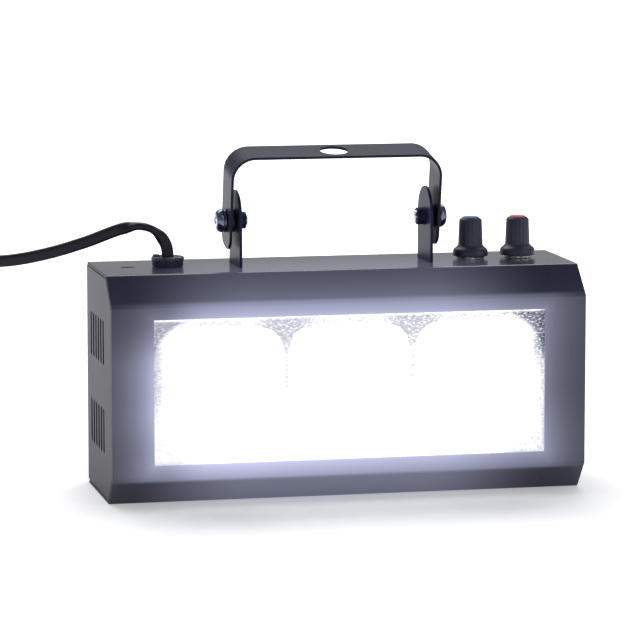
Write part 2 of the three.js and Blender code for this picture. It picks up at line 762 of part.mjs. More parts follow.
// Skirt heights as shares of the dome above its rim, with the radius as a share of the way in to the body
const skirtShares = [[0, 0], [0.08, 0.3], [0.3, 0.62], [0.62, 0.85], [1, 1]];
function knob() {
  const dome = skirtHeight - skirtRim;
  const skirt = skirtShares.map(([inwards, up]) =>
    [skirtRadius - (skirtRadius - knobFootRadius) * inwards, skirtRim + dome * up]);
  const nutTop = 2 * seatGap + potWasherThickness + potNutHeight;
  const bodyHeight = knobHeight - capRise;
  const capFloor = knobHeight - capHeight - seatGap;
  const envelope = turned("z", [
    [0, 0], [knobFootRadius + overrun, 0], [knobHeadRadius + overrun, bodyHeight - knobChamfer - overrun],
    [knobHeadRadius - knobChamfer, bodyHeight], [0, bodyHeight],
  ]);
  const grip = solid(flutedBody(knobFootRadius, knobHeadRadius, bodyHeight)).intersect(solid(envelope));
  return cut(
    solid(turned("z", [[0, 0], [skirtRadius, 0], ...skirt, [0, skirtHeight]])).add(grip),
    rod("z", potWasherRadius + sideGap, -overrun, nutTop + seatGap - knobLift),
    rod("z", bushingRadius + sideGap, -overrun, bushingRise + seatGap - knobLift, smallSteps),
    rod("z", shaftRadius + shaftGap, -overrun, knobBoreDepth, smallSteps),
    rod("z", capRadius + sideGap, capFloor, bodyHeight + overrun, smallSteps),
  );
}

// A potentiometer's can with its bushing, bored for the shaft, and three solder lugs to the back.
function potentiometer() {
  const lugHeight = spread((potTop + potBottom) / 2, lugThickness);
  const lugs = [-1, 0, 1].map((i) =>
    block(spread(i * lugPitch, lugWidth), [0, potRadius + lugLength], lugHeight));
  return cut(
    joined(
      rod("z", potRadius, potBottom, potTop),
      rod("z", bushingRadius, potBottom, housingHeight + bushingRise, smallSteps),
      ...lugs,
    ),
    rod("z", shaftRadius + shaftGap, potBottom + potFloor, housingHeight + bushingRise + overrun, smallSteps),
  );
}

const controls = [["speed", blueCap], ["level", redCap]];
controls.forEach(([name, capMaterial], i) => {
  const x = knobX[i];
  const knobBottom = housingHeight + knobLift;
  const washerBottom = housingHeight + seatGap;
  const nutBottom = washerBottom + potWasherThickness + seatGap;
  const capTop = knobBottom + knobHeight;
  const shaftBottom = potBottom + potFloor + seatGap;
  const shaftTop = knobBottom + knobBoreDepth - seatGap;
  const cap = solid(rod("z", capRadius, capTop - capHeight, capTop, smallSteps));
  const shaft = solid(rod("z", shaftRadius, shaftBottom, shaftTop, smallSteps));
  add(`${name}_knob`, knob(), blackPlastic).position.set(x, topLine, knobBottom);
  add(`${name}_cap`, cap, capMaterial).position.set(x, topLine, 0);
  add(`${name}_shaft`, shaft, aluminium).position.set(x, topLine, 0);
  add(`${name}_pot`, potentiometer(), steel).position.set(x, topLine, 0);
  const holder = nut("z", potNutAcross, bushingRadius + sideGap, nutBottom, nutBottom + potNutHeight);
  add(`${name}_nut`, holder, steel).position.set(x, topLine, 0);
  const washerFaces = [washerBottom, washerBottom + potWasherThickness];
  const washer = ring("z", potWasherRadius, bushingRadius + sideGap, ...washerFaces);
  add(`${name}_washer`, washer, steel).position.set(x, topLine, 0);
});

// A small board under both potentiometers.
const controlBoardTop = potBottom - seatGap;
const controlBoardX = (knobX[0] + knobX[1]) / 2;
const controlBoardLength = knobPitch + 2 * (potRadius + controlBoardBorder);
add("control_board", solid(block(
  spread(controlBoardX, controlBoardLength),
  spread(topLine, controlBoardWidth),
  [controlBoardTop - boardThickness, controlBoardTop],
)), boardGreen);

// Strain relief, cord, coil and plug

function strainRelief() {
  const neckTop = housingHeight + seatGap;
  const barbTop = topInside - seatGap;
  const rimBottom = reliefTop - reliefRim;
  const lower = reliefRadius - reliefStep;
  return solid(turned("z", [
    [0, barbTop - reliefBarbHeight], [reliefNeckRadius - reliefChamfer, barbTop - reliefBarbHeight],
    [reliefBarbRadius, barbTop], [reliefNeckRadius, barbTop],
    [reliefNeckRadius, neckTop], [lower, neckTop], [lower, rimBottom], [reliefRadius, rimBottom],
    [reliefRadius, reliefTop - reliefChamfer], [reliefRadius - reliefChamfer, reliefTop], [0, reliefTop],
  ]));
}
add("strain_relief", strainRelief(), blackPlastic).position.set(reliefX, topLine, 0);

// The coil's route: in from the outside on the upper layer, down a layer in the half turn where the
// spiral reverses, out again on the lower layer, with a straight end of one cord diameter at each end.
class CoilCurve extends THREE.Curve {
  turnAt(turns) {
    const inner = coilRadius - coilPitch * coilTurns;
    const back = turns - coilTurns - 0.5;
    const radius = turns < coilTurns ? coilRadius - coilPitch * turns : inner + coilPitch * Math.max(back, 0);
    const drop = THREE.MathUtils.smoothstep(turns, coilTurns, coilTurns + 0.5);
    const angle = 2 * Math.PI * turns - Math.PI / 2;
    return new THREE.Vector3(
      coilMiddle[0] + radius * Math.cos(angle),
      coilMiddle[1] + radius * Math.sin(angle),
      cordRadius + coilLayerRise * (1 - drop),
    );
  }
  getPoint(share, target = new THREE.Vector3()) {
    const total = 2 * coilTurns + 0.5;
    const lead = 2 * cordRadius / (2 * Math.PI * coilRadius);
    const turns = share * (total + 2 * lead) - lead;
    const inside = THREE.MathUtils.clamp(turns, 0, total);
    const nudge = 1e-4;
    const step = inside > total / 2 ? -nudge : nudge;
    const place = this.turnAt(inside);
    const slope = this.turnAt(inside + step).sub(place).divideScalar(step);
    return target.copy(place).addScaledVector(slope, turns - inside);
  }
}

// The smallest distance between the surfaces of two turns, on points along the route.
function leastGap(curve, steps) {
  const places = curve.getSpacedPoints(steps);
  const spacing = curve.getLength() / steps;
  const skip = Math.ceil(4 * cordRadius / spacing);
  let least = Infinity;
  for (let i = 0; i < places.length; i += 1) {
    for (let j = i + skip; j < places.length; j += 1) {
      least = Math.min(least, places[i].distanceTo(places[j]));
    }
  }
  return least - 2 * cordRadius;
}

const coil = new CoilCurve();
coil.arcLengthDivisions = 2000;
const coilSteps = Math.round(loopSteps * (2 * coilTurns + 0.5));
const coilStart = coil.getPointAt(0);
const coilEnd = coil.getPointAt(1);
const startHeading = coil.getTangentAt(0);
const endHeading = coil.getTangentAt(1);

// The plug's own frame: the cord arrives at its origin and the pins point along its +X.
const plug = new THREE.Group();
plug.position.set(...plugPlace, plugThickness / 2);
plug.rotation.z = Math.PI + plugTurn;
strobe.add(plug);
const plugHeading = new THREE.Vector3(Math.cos(plug.rotation.z), Math.sin(plug.rotation.z), 0);

const beside = (place, heading, distance) => place.clone().addScaledVector(heading, distance);
const reliefExit = new THREE.Vector3(reliefX, topLine, reliefTop);
const upwards = new THREE.Vector3(0, 0, 1);
const cordCurve = smoothCurve([
  beside(reliefExit, upwards, seatGap),
  ...cordPath.map((place) => new THREE.Vector3(...place)),
  beside(coilStart, startHeading, -seatGap - cordRadius),
  beside(coilStart, startHeading, -seatGap),
]);
const tailCurve = smoothCurve([
  beside(coilEnd, endHeading, seatGap),
  beside(coilEnd, endHeading, seatGap + cordRadius),
  ...tailPath.map((place) => new THREE.Vector3(...place)),
  beside(plug.position, plugHeading, -seatGap - 2 * cordRadius),
  beside(plug.position, plugHeading, -seatGap),
]);
const cordSides = 8;
const stepsAlong = (curve) => Math.round(curve.getLength() / (3 * cordRadius));
add("supply_cord", solid(tube(cordCurve, cordRadius, cordSides, stepsAlong(cordCurve))), cordPlastic);
add("supply_cord_coil", solid(tube(coil, cordRadius, loopSides, coilSteps)), cordPlastic);
add("supply_cord_tail", solid(tube(tailCurve, cordRadius, cordSides, stepsAlong(tailCurve))), cordPlastic);

// A flat two-pin plug: a boot for the cord and a body that widens to the pins.
function plugBody() {
  const half = plugWidth / 2;
  const neck = plugThickness / 2;
  const bodyStart = bootLength;
  const face = bodyStart + plugLength;
  const outline = [
    ...points([[bodyStart, -neck], [bodyStart + plugShoulder, -half]]),
    ...arc(face - plugCorner, plugCorner - half, plugCorner, -Math.PI / 2, 0),
    ...arc(face - plugCorner, half - plugCorner, plugCorner, 0, Math.PI / 2),
    ...points([[bodyStart + plugShoulder, half], [bodyStart, neck]]),
  ];
  const bootProfile = [
    [0, 0], [bootEndRadius, 0], [bootFootRadius, bodyStart + overrun], [0, bodyStart + overrun],
  ];
  const boot = turned("x", bootProfile, smallSteps);
  const holes = [-1, 1].map((side) => {
    const hole = rod("x", pinRadius + sideGap, face - pinSocket - seatGap, face + overrun, smallSteps);
    return hole.translate(0, side * pinSpacing / 2, 0);
  });
  return cut(joined(extruded("z", outline, ...spread(0, plugThickness)), boot), ...holes);
}

add("plug_body", plugBody(), blackPlastic, plug);
[-1, 1].forEach((side, i) => {
  const face = bootLength + plugLength;
  const tip = face + pinLength;
  const round = pinRadius / 2;
  const profile = [
    [0, face - pinSocket], [pinRadius, face - pinSocket],
    [pinRadius, tip - round], [pinRadius - round, tip], [0, tip],
  ];
  const pin = solid(turned("x", profile, smallSteps));
  add(`plug_pin_${i + 1}`, pin, brass, plug).position.set(0, side * pinSpacing / 2, 0);
});

// Leads inside the housing

// A lead that leaves one place along one heading and arrives at another along a second one.
function lead(from, leaving, to, arriving) {
  const start = new THREE.Vector3(...from);
  const stop = new THREE.Vector3(...to);
  const curve = smoothCurve([
    start,
    beside(start, new THREE.Vector3(...leaving), leadStraight),
    beside(stop, new THREE.Vector3(...arriving), -leadStraight),
    stop,
  ]);
  return solid(tube(curve, leadRadius, loopSides, Math.round(curve.getLength() / (4 * leadRadius))));
}

const reliefBottom = topInside - seatGap - reliefBarbHeight;
const terminalTop = boardTop + seatGap + terminalSize[2];
const leadOnBoard = boardTop + seatGap;
add("supply_lead", lead(
  [reliefX, topLine, reliefBottom - seatGap], [0, 0, -1],
  [onBoard(terminalShare), boardY, terminalTop + seatGap], [0, 0, -1],
), cordPlastic);
add("led_lead", lead(
  [onBoard(ledLeadShare), boardY, leadOnBoard], [0, 0, 1],
  [onBoard(ledLeadShare), plateBack + seatGap, middle], [0, -1, 0],
), redCap);
add("control_lead", lead(
  [onBoard(controlLeadShare), boardY, leadOnBoard], [0, 0, 1],
  [controlBoardX, topLine, controlBoardTop - boardThickness - seatGap], [0, 0, 1],
), blueCap);

const cordLength = cordCurve.getLength() + coil.getLength() + tailCurve.getLength();
console.log(`free stretch ${cordCurve.getLength().toFixed(0)}, coil ${coil.getLength().toFixed(0)}, `
  + `tail ${tailCurve.getLength().toFixed(0)}, whole cord ${cordLength.toFixed(0)} mm`);
console.log(`least gap of the coil to itself ${leastGap(coil, 1200).toFixed(2)} mm`);

export default strobe;
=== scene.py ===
"""Dresses the packed LED strobe light: painted sheet steel, hammered mirror tray, lit modules, yoke,
knobs, mains cord and plug, each with its finish, on a pale studio floor."""

import json
import math

import bmesh
import bpy
from bpy.props import FloatProperty, FloatVectorProperty, IntProperty, PointerProperty
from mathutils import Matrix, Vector


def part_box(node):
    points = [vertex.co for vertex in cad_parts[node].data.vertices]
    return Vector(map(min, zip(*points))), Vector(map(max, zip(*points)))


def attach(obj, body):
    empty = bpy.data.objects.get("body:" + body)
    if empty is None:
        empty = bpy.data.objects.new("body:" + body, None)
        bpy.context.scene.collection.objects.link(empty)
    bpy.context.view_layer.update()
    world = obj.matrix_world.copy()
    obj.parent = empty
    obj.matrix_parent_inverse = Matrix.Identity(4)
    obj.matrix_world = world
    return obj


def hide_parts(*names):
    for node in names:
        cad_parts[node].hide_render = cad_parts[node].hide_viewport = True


bl_info = {
    "name": "LED strobe light",
    "version": (1, 0, 0),
    "blender": (4, 5, 0),
    "location": "View3D > Sidebar > Strobe light",
    "description": "Models and finishes the pieces of an LED strobe light around its packed frame",
    "category": "Object",
}

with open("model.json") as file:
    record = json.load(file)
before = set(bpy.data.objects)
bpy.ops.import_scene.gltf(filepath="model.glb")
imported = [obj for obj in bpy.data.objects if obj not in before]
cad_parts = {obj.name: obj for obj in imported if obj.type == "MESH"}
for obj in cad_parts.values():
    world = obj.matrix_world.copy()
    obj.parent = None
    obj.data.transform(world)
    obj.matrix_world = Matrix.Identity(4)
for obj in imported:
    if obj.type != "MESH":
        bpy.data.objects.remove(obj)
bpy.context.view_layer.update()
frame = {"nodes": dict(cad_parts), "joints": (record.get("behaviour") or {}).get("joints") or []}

MM = 0.001
SHELL_LOW, SHELL_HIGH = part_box("front_shell")
COVER_LOW, COVER_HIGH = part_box("rear_cover")
TRAY_LOW, TRAY_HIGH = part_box("reflector_tray")
BRACKET_LOW, BRACKET_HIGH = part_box("bracket_right")
RELIEF_LOW, RELIEF_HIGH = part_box("strain_relief")
PIVOT = Vector(next(joint["pos_m"] for joint in frame["joints"] if joint["name"] == "yoke_tilt"))
CUP_SIZE = 51 * MM
CUP_PITCH = 53.3 * MM

# Turns that point an upright piece, or make a flat one face, another way
FORWARDS = (math.pi / 2, 0, 0)
BACKWARDS = (-math.pi / 2, 0, 0)
SIDEWAYS = (0, math.pi / 2, 0)

# How close counts as at a place, and how much of a heading counts as along an axis
NEAR = 0.1 * MM
TINY = 0.001 * MM
ALONG = 0.9

# How far a cutter reaches past the sheet that it cuts
PAST = 3 * MM


def length(name, description, size):
    """A size that a user can change, given here in millimetres."""
    return FloatProperty(
        name=name, description=description, default=size * MM, unit="LENGTH", precision=5
    )


def colour(name, description, default):
    """A colour that a user can change, in linear values."""
    return FloatVectorProperty(
        name=name, description=description, default=default, subtype="COLOR", size=3, min=0, max=1
    )


class StrobeHousing(bpy.types.PropertyGroup):
    """Sizes of the folded front sheet and the rear sheet."""

    sheet: length("Sheet", "Thickness of the steel sheet", 1.2)
    top_bevel_depth: length("Top bevel depth", "How far back the top bevel runs", 13.5)
    bottom_bevel_depth: length("Bottom bevel depth", "How far back the bottom bevel runs", 10.4)
    bevel_rise: length("Bevel rise", "Height of each bevel", 11.7)
    bend: length("Bend", "How far a bend reaches along the sheet at the front folds", 0.7)
    rear_bend: length("Rear bend", "Radius of the bends at the back", 2)
    lip: length("Lip", "Height of the fold-ins at the back", 12)
    window_width: length("Window width", "Width of the cut-out", 165)
    window_height: length("Window height", "Height of the cut-out", 60)
    edge: length("Edge", "Rounding of the cut edges", 0.16)
    vent_width: length("Vent width", "Width of one vent slot", 3)
    vent_height: length("Vent height", "Height of one vent slot", 18.6)
    vent_pitch: length("Vent pitch", "Distance from one vent slot to the next", 6.3)
    vent_columns: IntProperty(name="Vent columns", description="Slots in one group", default=6, min=1)


class StrobeYoke(bpy.types.PropertyGroup):
    """Sizes of the yoke, its brackets and the pivots."""

    strip: length("Strip", "Width of the bent strip", 18)
    sheet: length("Sheet", "Thickness of the strip and the brackets", 1.2)
    reach: length("Reach", "From the pivots to the top of the bar", 29.5)
    tail: length("Tail", "From the pivots to the ends of the arms", 11.5)
    corner: length("Corner", "Outer radius of the bends", 10)
    end_radius: length("End radius", "Rounding of the arms' ends", 6.5)
    hole: length("Hole", "Radius of the hanging hole", 6)
    pivot_hole: length("Pivot hole", "Radius of the holes for the pivot screws", 2.75)
    crown: length("Crown", "From the pivots to the middle of a bracket's round top", 1.5)
    head: length("Screw head", "Radius of the pivot screws' heads", 5)
    head_height: length("Head height", "Height of the pivot screws' heads", 3.26)
    lean: FloatProperty(
        name="Lean",
        description="How far the yoke leans forward at rest",
        default=math.radians(10.5),
        subtype="ANGLE",
    )


class StrobeControls(bpy.types.PropertyGroup):
    """Sizes of a control knob and its cap."""

    skirt_radius: length("Skirt radius", "Radius of the knob's skirt", 7.5)
    skirt_height: length("Skirt height", "Height of the knob's skirt", 4.4)
    foot_radius: length("Foot radius", "Radius of the grip above the skirt", 5.4)
    head_radius: length("Head radius", "Radius of the grip below its chamfer", 4.8)
    chamfer: length("Chamfer", "Chamfer round the head", 0.95)
    flutes: IntProperty(name="Flutes", description="Grooves round the grip", default=18, min=6)
    flute_depth: length("Flute depth", "Depth of a groove", 0.18)
    cap_radius: length("Cap radius", "Radius of the coloured cap", 3.5)


class StrobeCord(bpy.types.PropertyGroup):
    """Sizes of the flat mains cord."""

    width: length("Width", "Width of the flat cord", 5)
    thickness: length("Thickness", "Thickness of the flat cord", 3.3)
    whole: length("Length", "Length of the cord from the strain relief to the plug", 1452)
    step: length("Step", "Spacing of the rings of the mesh", 2)


class StrobePlug(bpy.types.PropertyGroup):
    """Sizes of the plug, which begins where the cord goes in."""

    width: length("Width", "Width of the plug", 35.3)
    depth: length("Depth", "Thickness of the plug", 13.7)
    boot: length("Boot", "Length of the ribbed boot", 14)
    shoulder: length("Shoulder", "From the cord to where the plug has its full width", 29)
    face: length("Face", "From the cord to the face that the prongs stand on", 40)
    corner: length("Corner", "Rounding of the corners at the face", 4)
    waist: length("Waist", "Rounding of the corners at the shoulder", 3)
    border: length("Border", "Border round the sunk grip", 2.4)
    sunk: length("Sunk", "Depth of the grip", 0.5)
    edge: length("Edge", "Rounding of the edges", 1.1)
    prong_pitch: length("Prong pitch", "Distance between the prongs", 18.6)


class StrobeColours(bpy.types.PropertyGroup):
    """Colours of the paints and plastics."""

    paint: colour("Housing paint", "Near black with a blue tint", (0.014, 0.015, 0.04))
    yoke_paint: colour("Yoke paint", "Black satin paint", (0.02, 0.021, 0.048))
    bracket_paint: colour("Bracket paint", "Black paint with a blue tint", (0.026, 0.028, 0.08))
    # Colour of the window's glow that is painted onto the paint round the cut-out.
    glow: colour("Glow", "Light of the window on the paint round it", (0.68, 0.71, 1.0))
    knob: colour("Knob", "Moulded knob plastic", (0.034, 0.036, 0.075))
    blue_cap: colour("First cap", "Cap of the speed knob", (0.04, 0.17, 0.36))
    red_cap: colour("Second cap", "Cap of the level knob", (0.74, 0.12, 0.09))
    cord: colour("Cord", "Sheath of the mains cord", (0.012, 0.012, 0.024))


# Selecting, shaping and finishing a piece


def middle_of(node):
    """The middle of a node's box."""
    return [(low + high) / 2 for low, high in zip(*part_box(node))]


def let_go():
    """Deselect every object."""
    if bpy.context.mode != "OBJECT":
        bpy.ops.object.mode_set(mode="OBJECT")
    bpy.ops.object.select_all(action="DESELECT")


def hold(*pieces):
    """Select these pieces alone, with the first one active."""
    let_go()
    for piece in pieces:
        piece.select_set(True)
    bpy.context.view_layer.objects.active = pieces[0]


def settle(piece):
    """Move the piece's place, turn and size into its mesh, so that its object is at the origin."""
    hold(piece)
    bpy.ops.object.transform_apply(location=True, rotation=True, scale=True)
    return piece


def place(piece, at, turn=(0, 0, 0)):
    """Turn the piece about the origin, then move it."""
    piece.rotation_euler = turn
    piece.location = at
    return settle(piece)


class Shaping:
    """Edit mode on one piece, where faces, edges or corners are chosen by a test."""

    def __init__(self, piece):
        self.piece = piece

    def __enter__(self):
        hold(self.piece)
        bpy.ops.object.mode_set(mode="EDIT")
        bpy.ops.mesh.select_mode(type="VERT")
        bpy.ops.mesh.select_all(action="DESELECT")
        return self

    def __exit__(self, *problem):
        bpy.ops.object.mode_set(mode="OBJECT")

    def choose(self, kind, parts, test):
        """Select those of the mesh's parts that pass the test."""
        bpy.ops.mesh.select_all(action="DESELECT")
        bpy.ops.mesh.select_mode(type=kind)
        mesh = bmesh.from_edit_mesh(self.piece.data)
        chosen = [part for part in getattr(mesh, parts) if test(part)]
        if not chosen:
            raise RuntimeError(f"{self.piece.name}: nothing to select")
        for part in chosen:
            part.select_set(True)
        mesh.select_flush_mode()
        bmesh.update_edit_mesh(self.piece.data)

    def faces(self, test):
        """Select faces by their middle and normal."""
        self.choose("FACE", "faces", lambda face: test(face.calc_center_median(), face.normal))

    def edges(self, test):
        """Select edges by their middle and heading."""

        def passes(edge):
            one, other = (corner.co for corner in edge.verts)
            return test((one + other) / 2, (other - one).normalized())

        self.choose("EDGE", "edges", passes)

    def corners(self, test):
        """Select corners by their place."""
        self.choose("VERT", "verts", lambda corner: test(corner.co))

    def all(self):
        bpy.ops.mesh.select_all(action="SELECT")

    def draw_out(self, x, y, z):
        """Extrude what is selected by a shift."""
        bpy.ops.mesh.extrude_region_move(TRANSFORM_OT_translate={"value": (x, y, z)})

    def shift(self, x, y, z):
        bpy.ops.transform.translate(value=(x, y, z))

    def widen(self, x, y, z, about=(0, 0, 0)):
        """Resize what is selected about a point."""
        bpy.ops.transform.resize(value=(x, y, z), center_override=about)

    def narrow(self, share):
        """Resize what is selected about the vertical through the origin."""
        self.widen(share, share, 1)

    def soften(self, reach, segments=3, affect="EDGES"):
        """Bevel the selected edges, or the selected corners of a flat face."""
        bpy.ops.mesh.bevel(offset=reach, segments=segments, affect=affect)

    def split(self, at, across, **settings):
        """Cut what is selected by a plane."""
        bpy.ops.mesh.bisect(plane_co=at, plane_no=across, **settings)

    def remove(self):
        bpy.ops.mesh.delete(type="FACE")

    def tidy(self):
        """Weld the doubles and turn the faces outwards."""
        self.all()
        bpy.ops.mesh.remove_doubles(threshold=TINY)
        bpy.ops.mesh.normals_make_consistent(inside=False)


def started(name):
    """The primitive just added, under its name, with its size and place in its mesh."""
    piece = bpy.context.object
    piece.name = name
    return settle(piece)


def sheet(name, width, height, at, turn=(0, 0, 0)):
    """A flat rectangle about a place."""
    let_go()
    bpy.ops.mesh.primitive_plane_add(size=1, location=at, rotation=turn)
    bpy.context.object.scale = (width, height, 1)
    return started(name)


def block(name, one, other):
    """A cuboid between two opposite corners."""
    let_go()
    one, other = Vector(one), Vector(other)
    bpy.ops.mesh.primitive_cube_add(size=1, location=(one + other) / 2)
    bpy.context.object.scale = [abs(side) for side in other - one]
    return started(name)


def rod(name, radius, start, end, sides=32):
    """A cylinder between two points."""
    let_go()
    start, end = Vector(start), Vector(end)
    run = end - start
    bpy.ops.mesh.primitive_cylinder_add(
        vertices=sides,
        radius=radius,
        depth=run.length,
        location=(start + end) / 2,
        rotation=run.to_track_quat("Z", "Y").to_euler(),
    )
    return started(name)


def long_rod(name, radius, start, end, sides, drawn):
    """A rod whose section is drawn out by a shift, for a slot with round ends."""
    piece = rod(name, radius, start, end, sides)
    heading = Vector(drawn).normalized()
    with Shaping(piece) as shape:
        shape.corners(lambda at: (at - Vector(start)).dot(heading) > TINY)
        shape.shift(*drawn)
    return piece


def rods_at(stem, radius, face):
    """Rods for holes through an upright sheet at this depth, one at each of four numbered nodes."""
    middles = [middle_of(f"{stem}_{i}") for i in range(1, 5)]
    return [rod("hole", radius, (x, face - PAST, z), (x, face + PAST, z), 24) for x, _, z in middles]


def turned(name, profile, steps=48, unit=1.0):
    """A profile of (radius, height) pairs spun about the vertical through the origin."""
    let_go()
    bpy.ops.mesh.primitive_plane_add(size=MM)
    piece = started(name)
    with Shaping(piece) as shape:
        shape.all()
        bpy.ops.mesh.merge(type="CENTER")
        tip = Vector()
        for i, (radius, height) in enumerate(profile):
            shift = Vector((radius * unit, 0, height * unit)) - tip
            tip += shift
            if i:
                bpy.ops.mesh.extrude_vertices_move(TRANSFORM_OT_translate={"value": shift})
            else:
                shape.shift(*shift)
        shape.all()
        bpy.ops.mesh.spin(steps=steps, angle=2 * math.pi, center=(0, 0, 0), axis=(0, 0, 1))
        shape.tidy()
    return piece


def refine(piece, kind, **settings):
    """Add a modifier to the piece and apply it."""
    modifier = piece.modifiers.new(kind.title(), kind)
    for setting, value in settings.items():
        setattr(modifier, setting, value)
    hold(piece)
    bpy.ops.object.modifier_apply(modifier=modifier.name)
    return piece


def joined(first, *others):
    """Several meshes as one."""
    if others:
        hold(first, *others)
        bpy.ops.object.join()
    return first


def fuse(piece, other, operation="UNION"):
    """Combine two solids into the first one."""
    refine(piece, "BOOLEAN", object=other, operation=operation, solver="EXACT")
    bpy.data.objects.remove(other)
    return piece


def carve(piece, *cutters):
    """Take the cutters, which don't touch each other, out of the piece."""
    return fuse(piece, joined(*cutters), "DIFFERENCE")


def thicken(piece, thickness, side=-1):
    """Give a folded surface its thickness, inwards at side -1 and outwards at side 1."""
    return refine(piece, "SOLIDIFY", thickness=thickness, offset=side, use_even_offset=True)


def break_edges(piece, width, segments=2, angle=38, clamp=False):
    """Round the sharp edges a little."""
    return refine(
        piece,
        "BEVEL",
        width=width,
        segments=segments,
        limit_method="ANGLE",
        angle_limit=math.radians(angle),
        use_clamp_overlap=clamp,
    )


def copied(piece, name, at=(0, 0, 0), turn=(0, 0, 0)):
    """A copy of the piece with its own mesh, turned and moved."""
    twin = piece.copy()
    twin.data = piece.data.copy()
    twin.name = name
    bpy.context.collection.objects.link(twin)
    return place(twin, at, turn)


def mirrored(piece, name):
    """A copy of the piece on the other side of the middle."""
    twin = copied(piece, name)
    twin.scale = (-1, 1, 1)
    settle(twin)
    with Shaping(twin) as shape:
        shape.all()
        bpy.ops.mesh.normals_make_consistent(inside=False)
    return twin


def coat(piece, material):
    """Give the piece this finish alone."""
    piece.data.materials.clear()
    piece.data.materials.append(material)


def dress(piece, material, body, slot, *nodes, angle=32, flat=False):
    """Shade the piece, give it its finish and its body, and hide the nodes that it stands for."""
    hold(piece)
    bpy.ops.object.shade_smooth_by_angle(angle=math.radians(angle))
    if flat:
        refine(piece, "WEIGHTED_NORMAL", keep_sharp=True)
    coat(piece, material)
    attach(piece, body)
    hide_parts(*nodes)


# Finishes


class Value:
    """A number that a shader node gives, for plain arithmetic."""

    def __init__(self, nodes, socket):
        self.nodes = nodes
        self.socket = socket

    def __add__(self, other):
        return self.nodes.maths("ADD", self, other)

    __radd__ = __add__

    def __sub__(self, other):
        return self.nodes.maths("SUBTRACT", self, other)

    def __rsub__(self, other):
        return self.nodes.maths("SUBTRACT", other, self)

    def __mul__(self, other):
        return self.nodes.maths("MULTIPLY", self, other)

    __rmul__ = __mul__

    def __truediv__(self, other):
        return self.nodes.maths("DIVIDE", self, other)

    def __abs__(self):
        return self.nodes.maths("ABSOLUTE", self)


class Nodes:
    """A node tree under way."""

    def __init__(self, tree):
        self.tree = tree

    def feed(self, socket, value):
        """Link a node's output to a socket, or set the socket."""
        if isinstance(value, Value):
            value = value.socket
        if isinstance(value, bpy.types.NodeSocket):
            self.tree.links.new(value, socket)
        else:
            socket.default_value = value

    def node(self, kind, settings=None, sockets=None):
        """Any node, from its type, its settings and the values or links of its sockets."""
        made = self.tree.nodes.new(kind)
        for setting, value in (settings or {}).items():
            setattr(made, setting, value)
        for socket, value in (sockets or {}).items():
            self.feed(made.inputs[socket], value)
        return made

    def maths(self, operation, *terms, clamp=False):
        settings = {"operation": operation, "use_clamp": clamp}
        made = self.node("ShaderNodeMath", settings, dict(enumerate(terms)))
        return Value(self, made.outputs[0])

    def larger(self, one, other):
        return self.maths("MAXIMUM", one, other)

    def beyond(self, value, limit):
        """How far a value is past a limit, and 0 up to it."""
        return self.larger(value - limit, 0.0)

    def distance(self, one, other):
        """How far away something is, from how far it is along two axes."""
        return self.maths("SQRT", one * one + other * other)

    def parts(self, vector):
        """The three parts of a vector."""
        made = self.node("ShaderNodeSeparateXYZ", None, {0: vector})
        return [Value(self, socket) for socket in made.outputs]

    def ramp(self, value, low, high, start=0.0, end=1.0):
        """From start to end, smoothly, as the value goes from low to high."""
        made = self.node(
            "ShaderNodeMapRange",
            {"interpolation_type": "SMOOTHSTEP"},
            {"Value": value, "From Min": low, "From Max": high, "To Min": start, "To Max": end},
        )
        return Value(self, made.outputs[0])


class Finish(Nodes):
    """A material under way, with the principled shader that its nodes feed."""

    def __init__(self, name, **constants):
        self.material = bpy.data.materials.new(name)
        self.material.use_nodes = True
        super().__init__(self.material.node_tree)
        self.shader = self.tree.nodes["Principled BSDF"]
        self.spot = self.node("ShaderNodeTexCoord").outputs["Object"]
        self.x, self.y, self.z = self.parts(self.spot)
        self.shade(**constants)

    def noise(self, scale, detail=2, roughness=0.5):
        """Cloudy noise from 0 to 1, with so many cells to a metre, or so many along each axis."""
        spot = self.spot
        if isinstance(scale, tuple):
            drawn = {"Vector": spot, "Scale": scale}
            spot = self.node("ShaderNodeMapping", {"vector_type": "POINT"}, drawn).outputs[0]
            scale = 1.0
        sockets = {"Vector": spot, "Scale": scale, "Detail": detail, "Roughness": roughness}
        return Value(self, self.node("ShaderNodeTexNoise", None, sockets).outputs[0])

    def cells(self, scale, feature="F1"):
        """The distance to the nearest of scattered points."""
        sockets = {"Vector": self.spot, "Scale": scale}
        made = self.node("ShaderNodeTexVoronoi", {"feature": feature}, sockets)
        return Value(self, made.outputs["Distance"])

    def zone(self, value, low, high, start=0.0, end=1.0, at=0.0):
        """A ramp between two places in millimetres from a level."""
        return self.ramp(value, at + low * MM, at + high * MM, start, end)

    def blend(self, share, one, other):
        """One colour turning into another."""
        sockets = {0: share, 6: full(one), 7: full(other)}
        return self.node("ShaderNodeMix", {"data_type": "RGBA"}, sockets).outputs[2]

    def mottled(self, share, tint, low, high):
        """A colour that goes from one share of its brightness to another."""
        return self.blend(share, tinted(tint, low), tinted(tint, high))

    def relief(self, height, depth, strength):
        """A bump of a height from 0 to 1, whose depth is in millimetres."""
        sockets = {"Height": height, "Distance": depth * MM, "Strength": strength}
        return self.node("ShaderNodeBump", None, sockets).outputs[0]

    def shade(self, **inputs):
        """Feed the shader's sockets, and hand over the material."""
        for socket, value in inputs.items():
            self.feed(self.shader.inputs[socket.replace("_", " ")], value)
        return self.material


def full(tint):
    """A colour with its alpha, or a link as it is."""
    return tint if isinstance(tint, bpy.types.NodeSocket) else (*tint[:3], 1.0)


def tinted(tint, share):
    """A colour made lighter or darker."""
    return tuple(min(1.0, part * share) for part in tint)


WHITE = (1.0, 1.0, 1.0, 1.0)
PLUG_BLACK = (0.014, 0.014, 0.019)


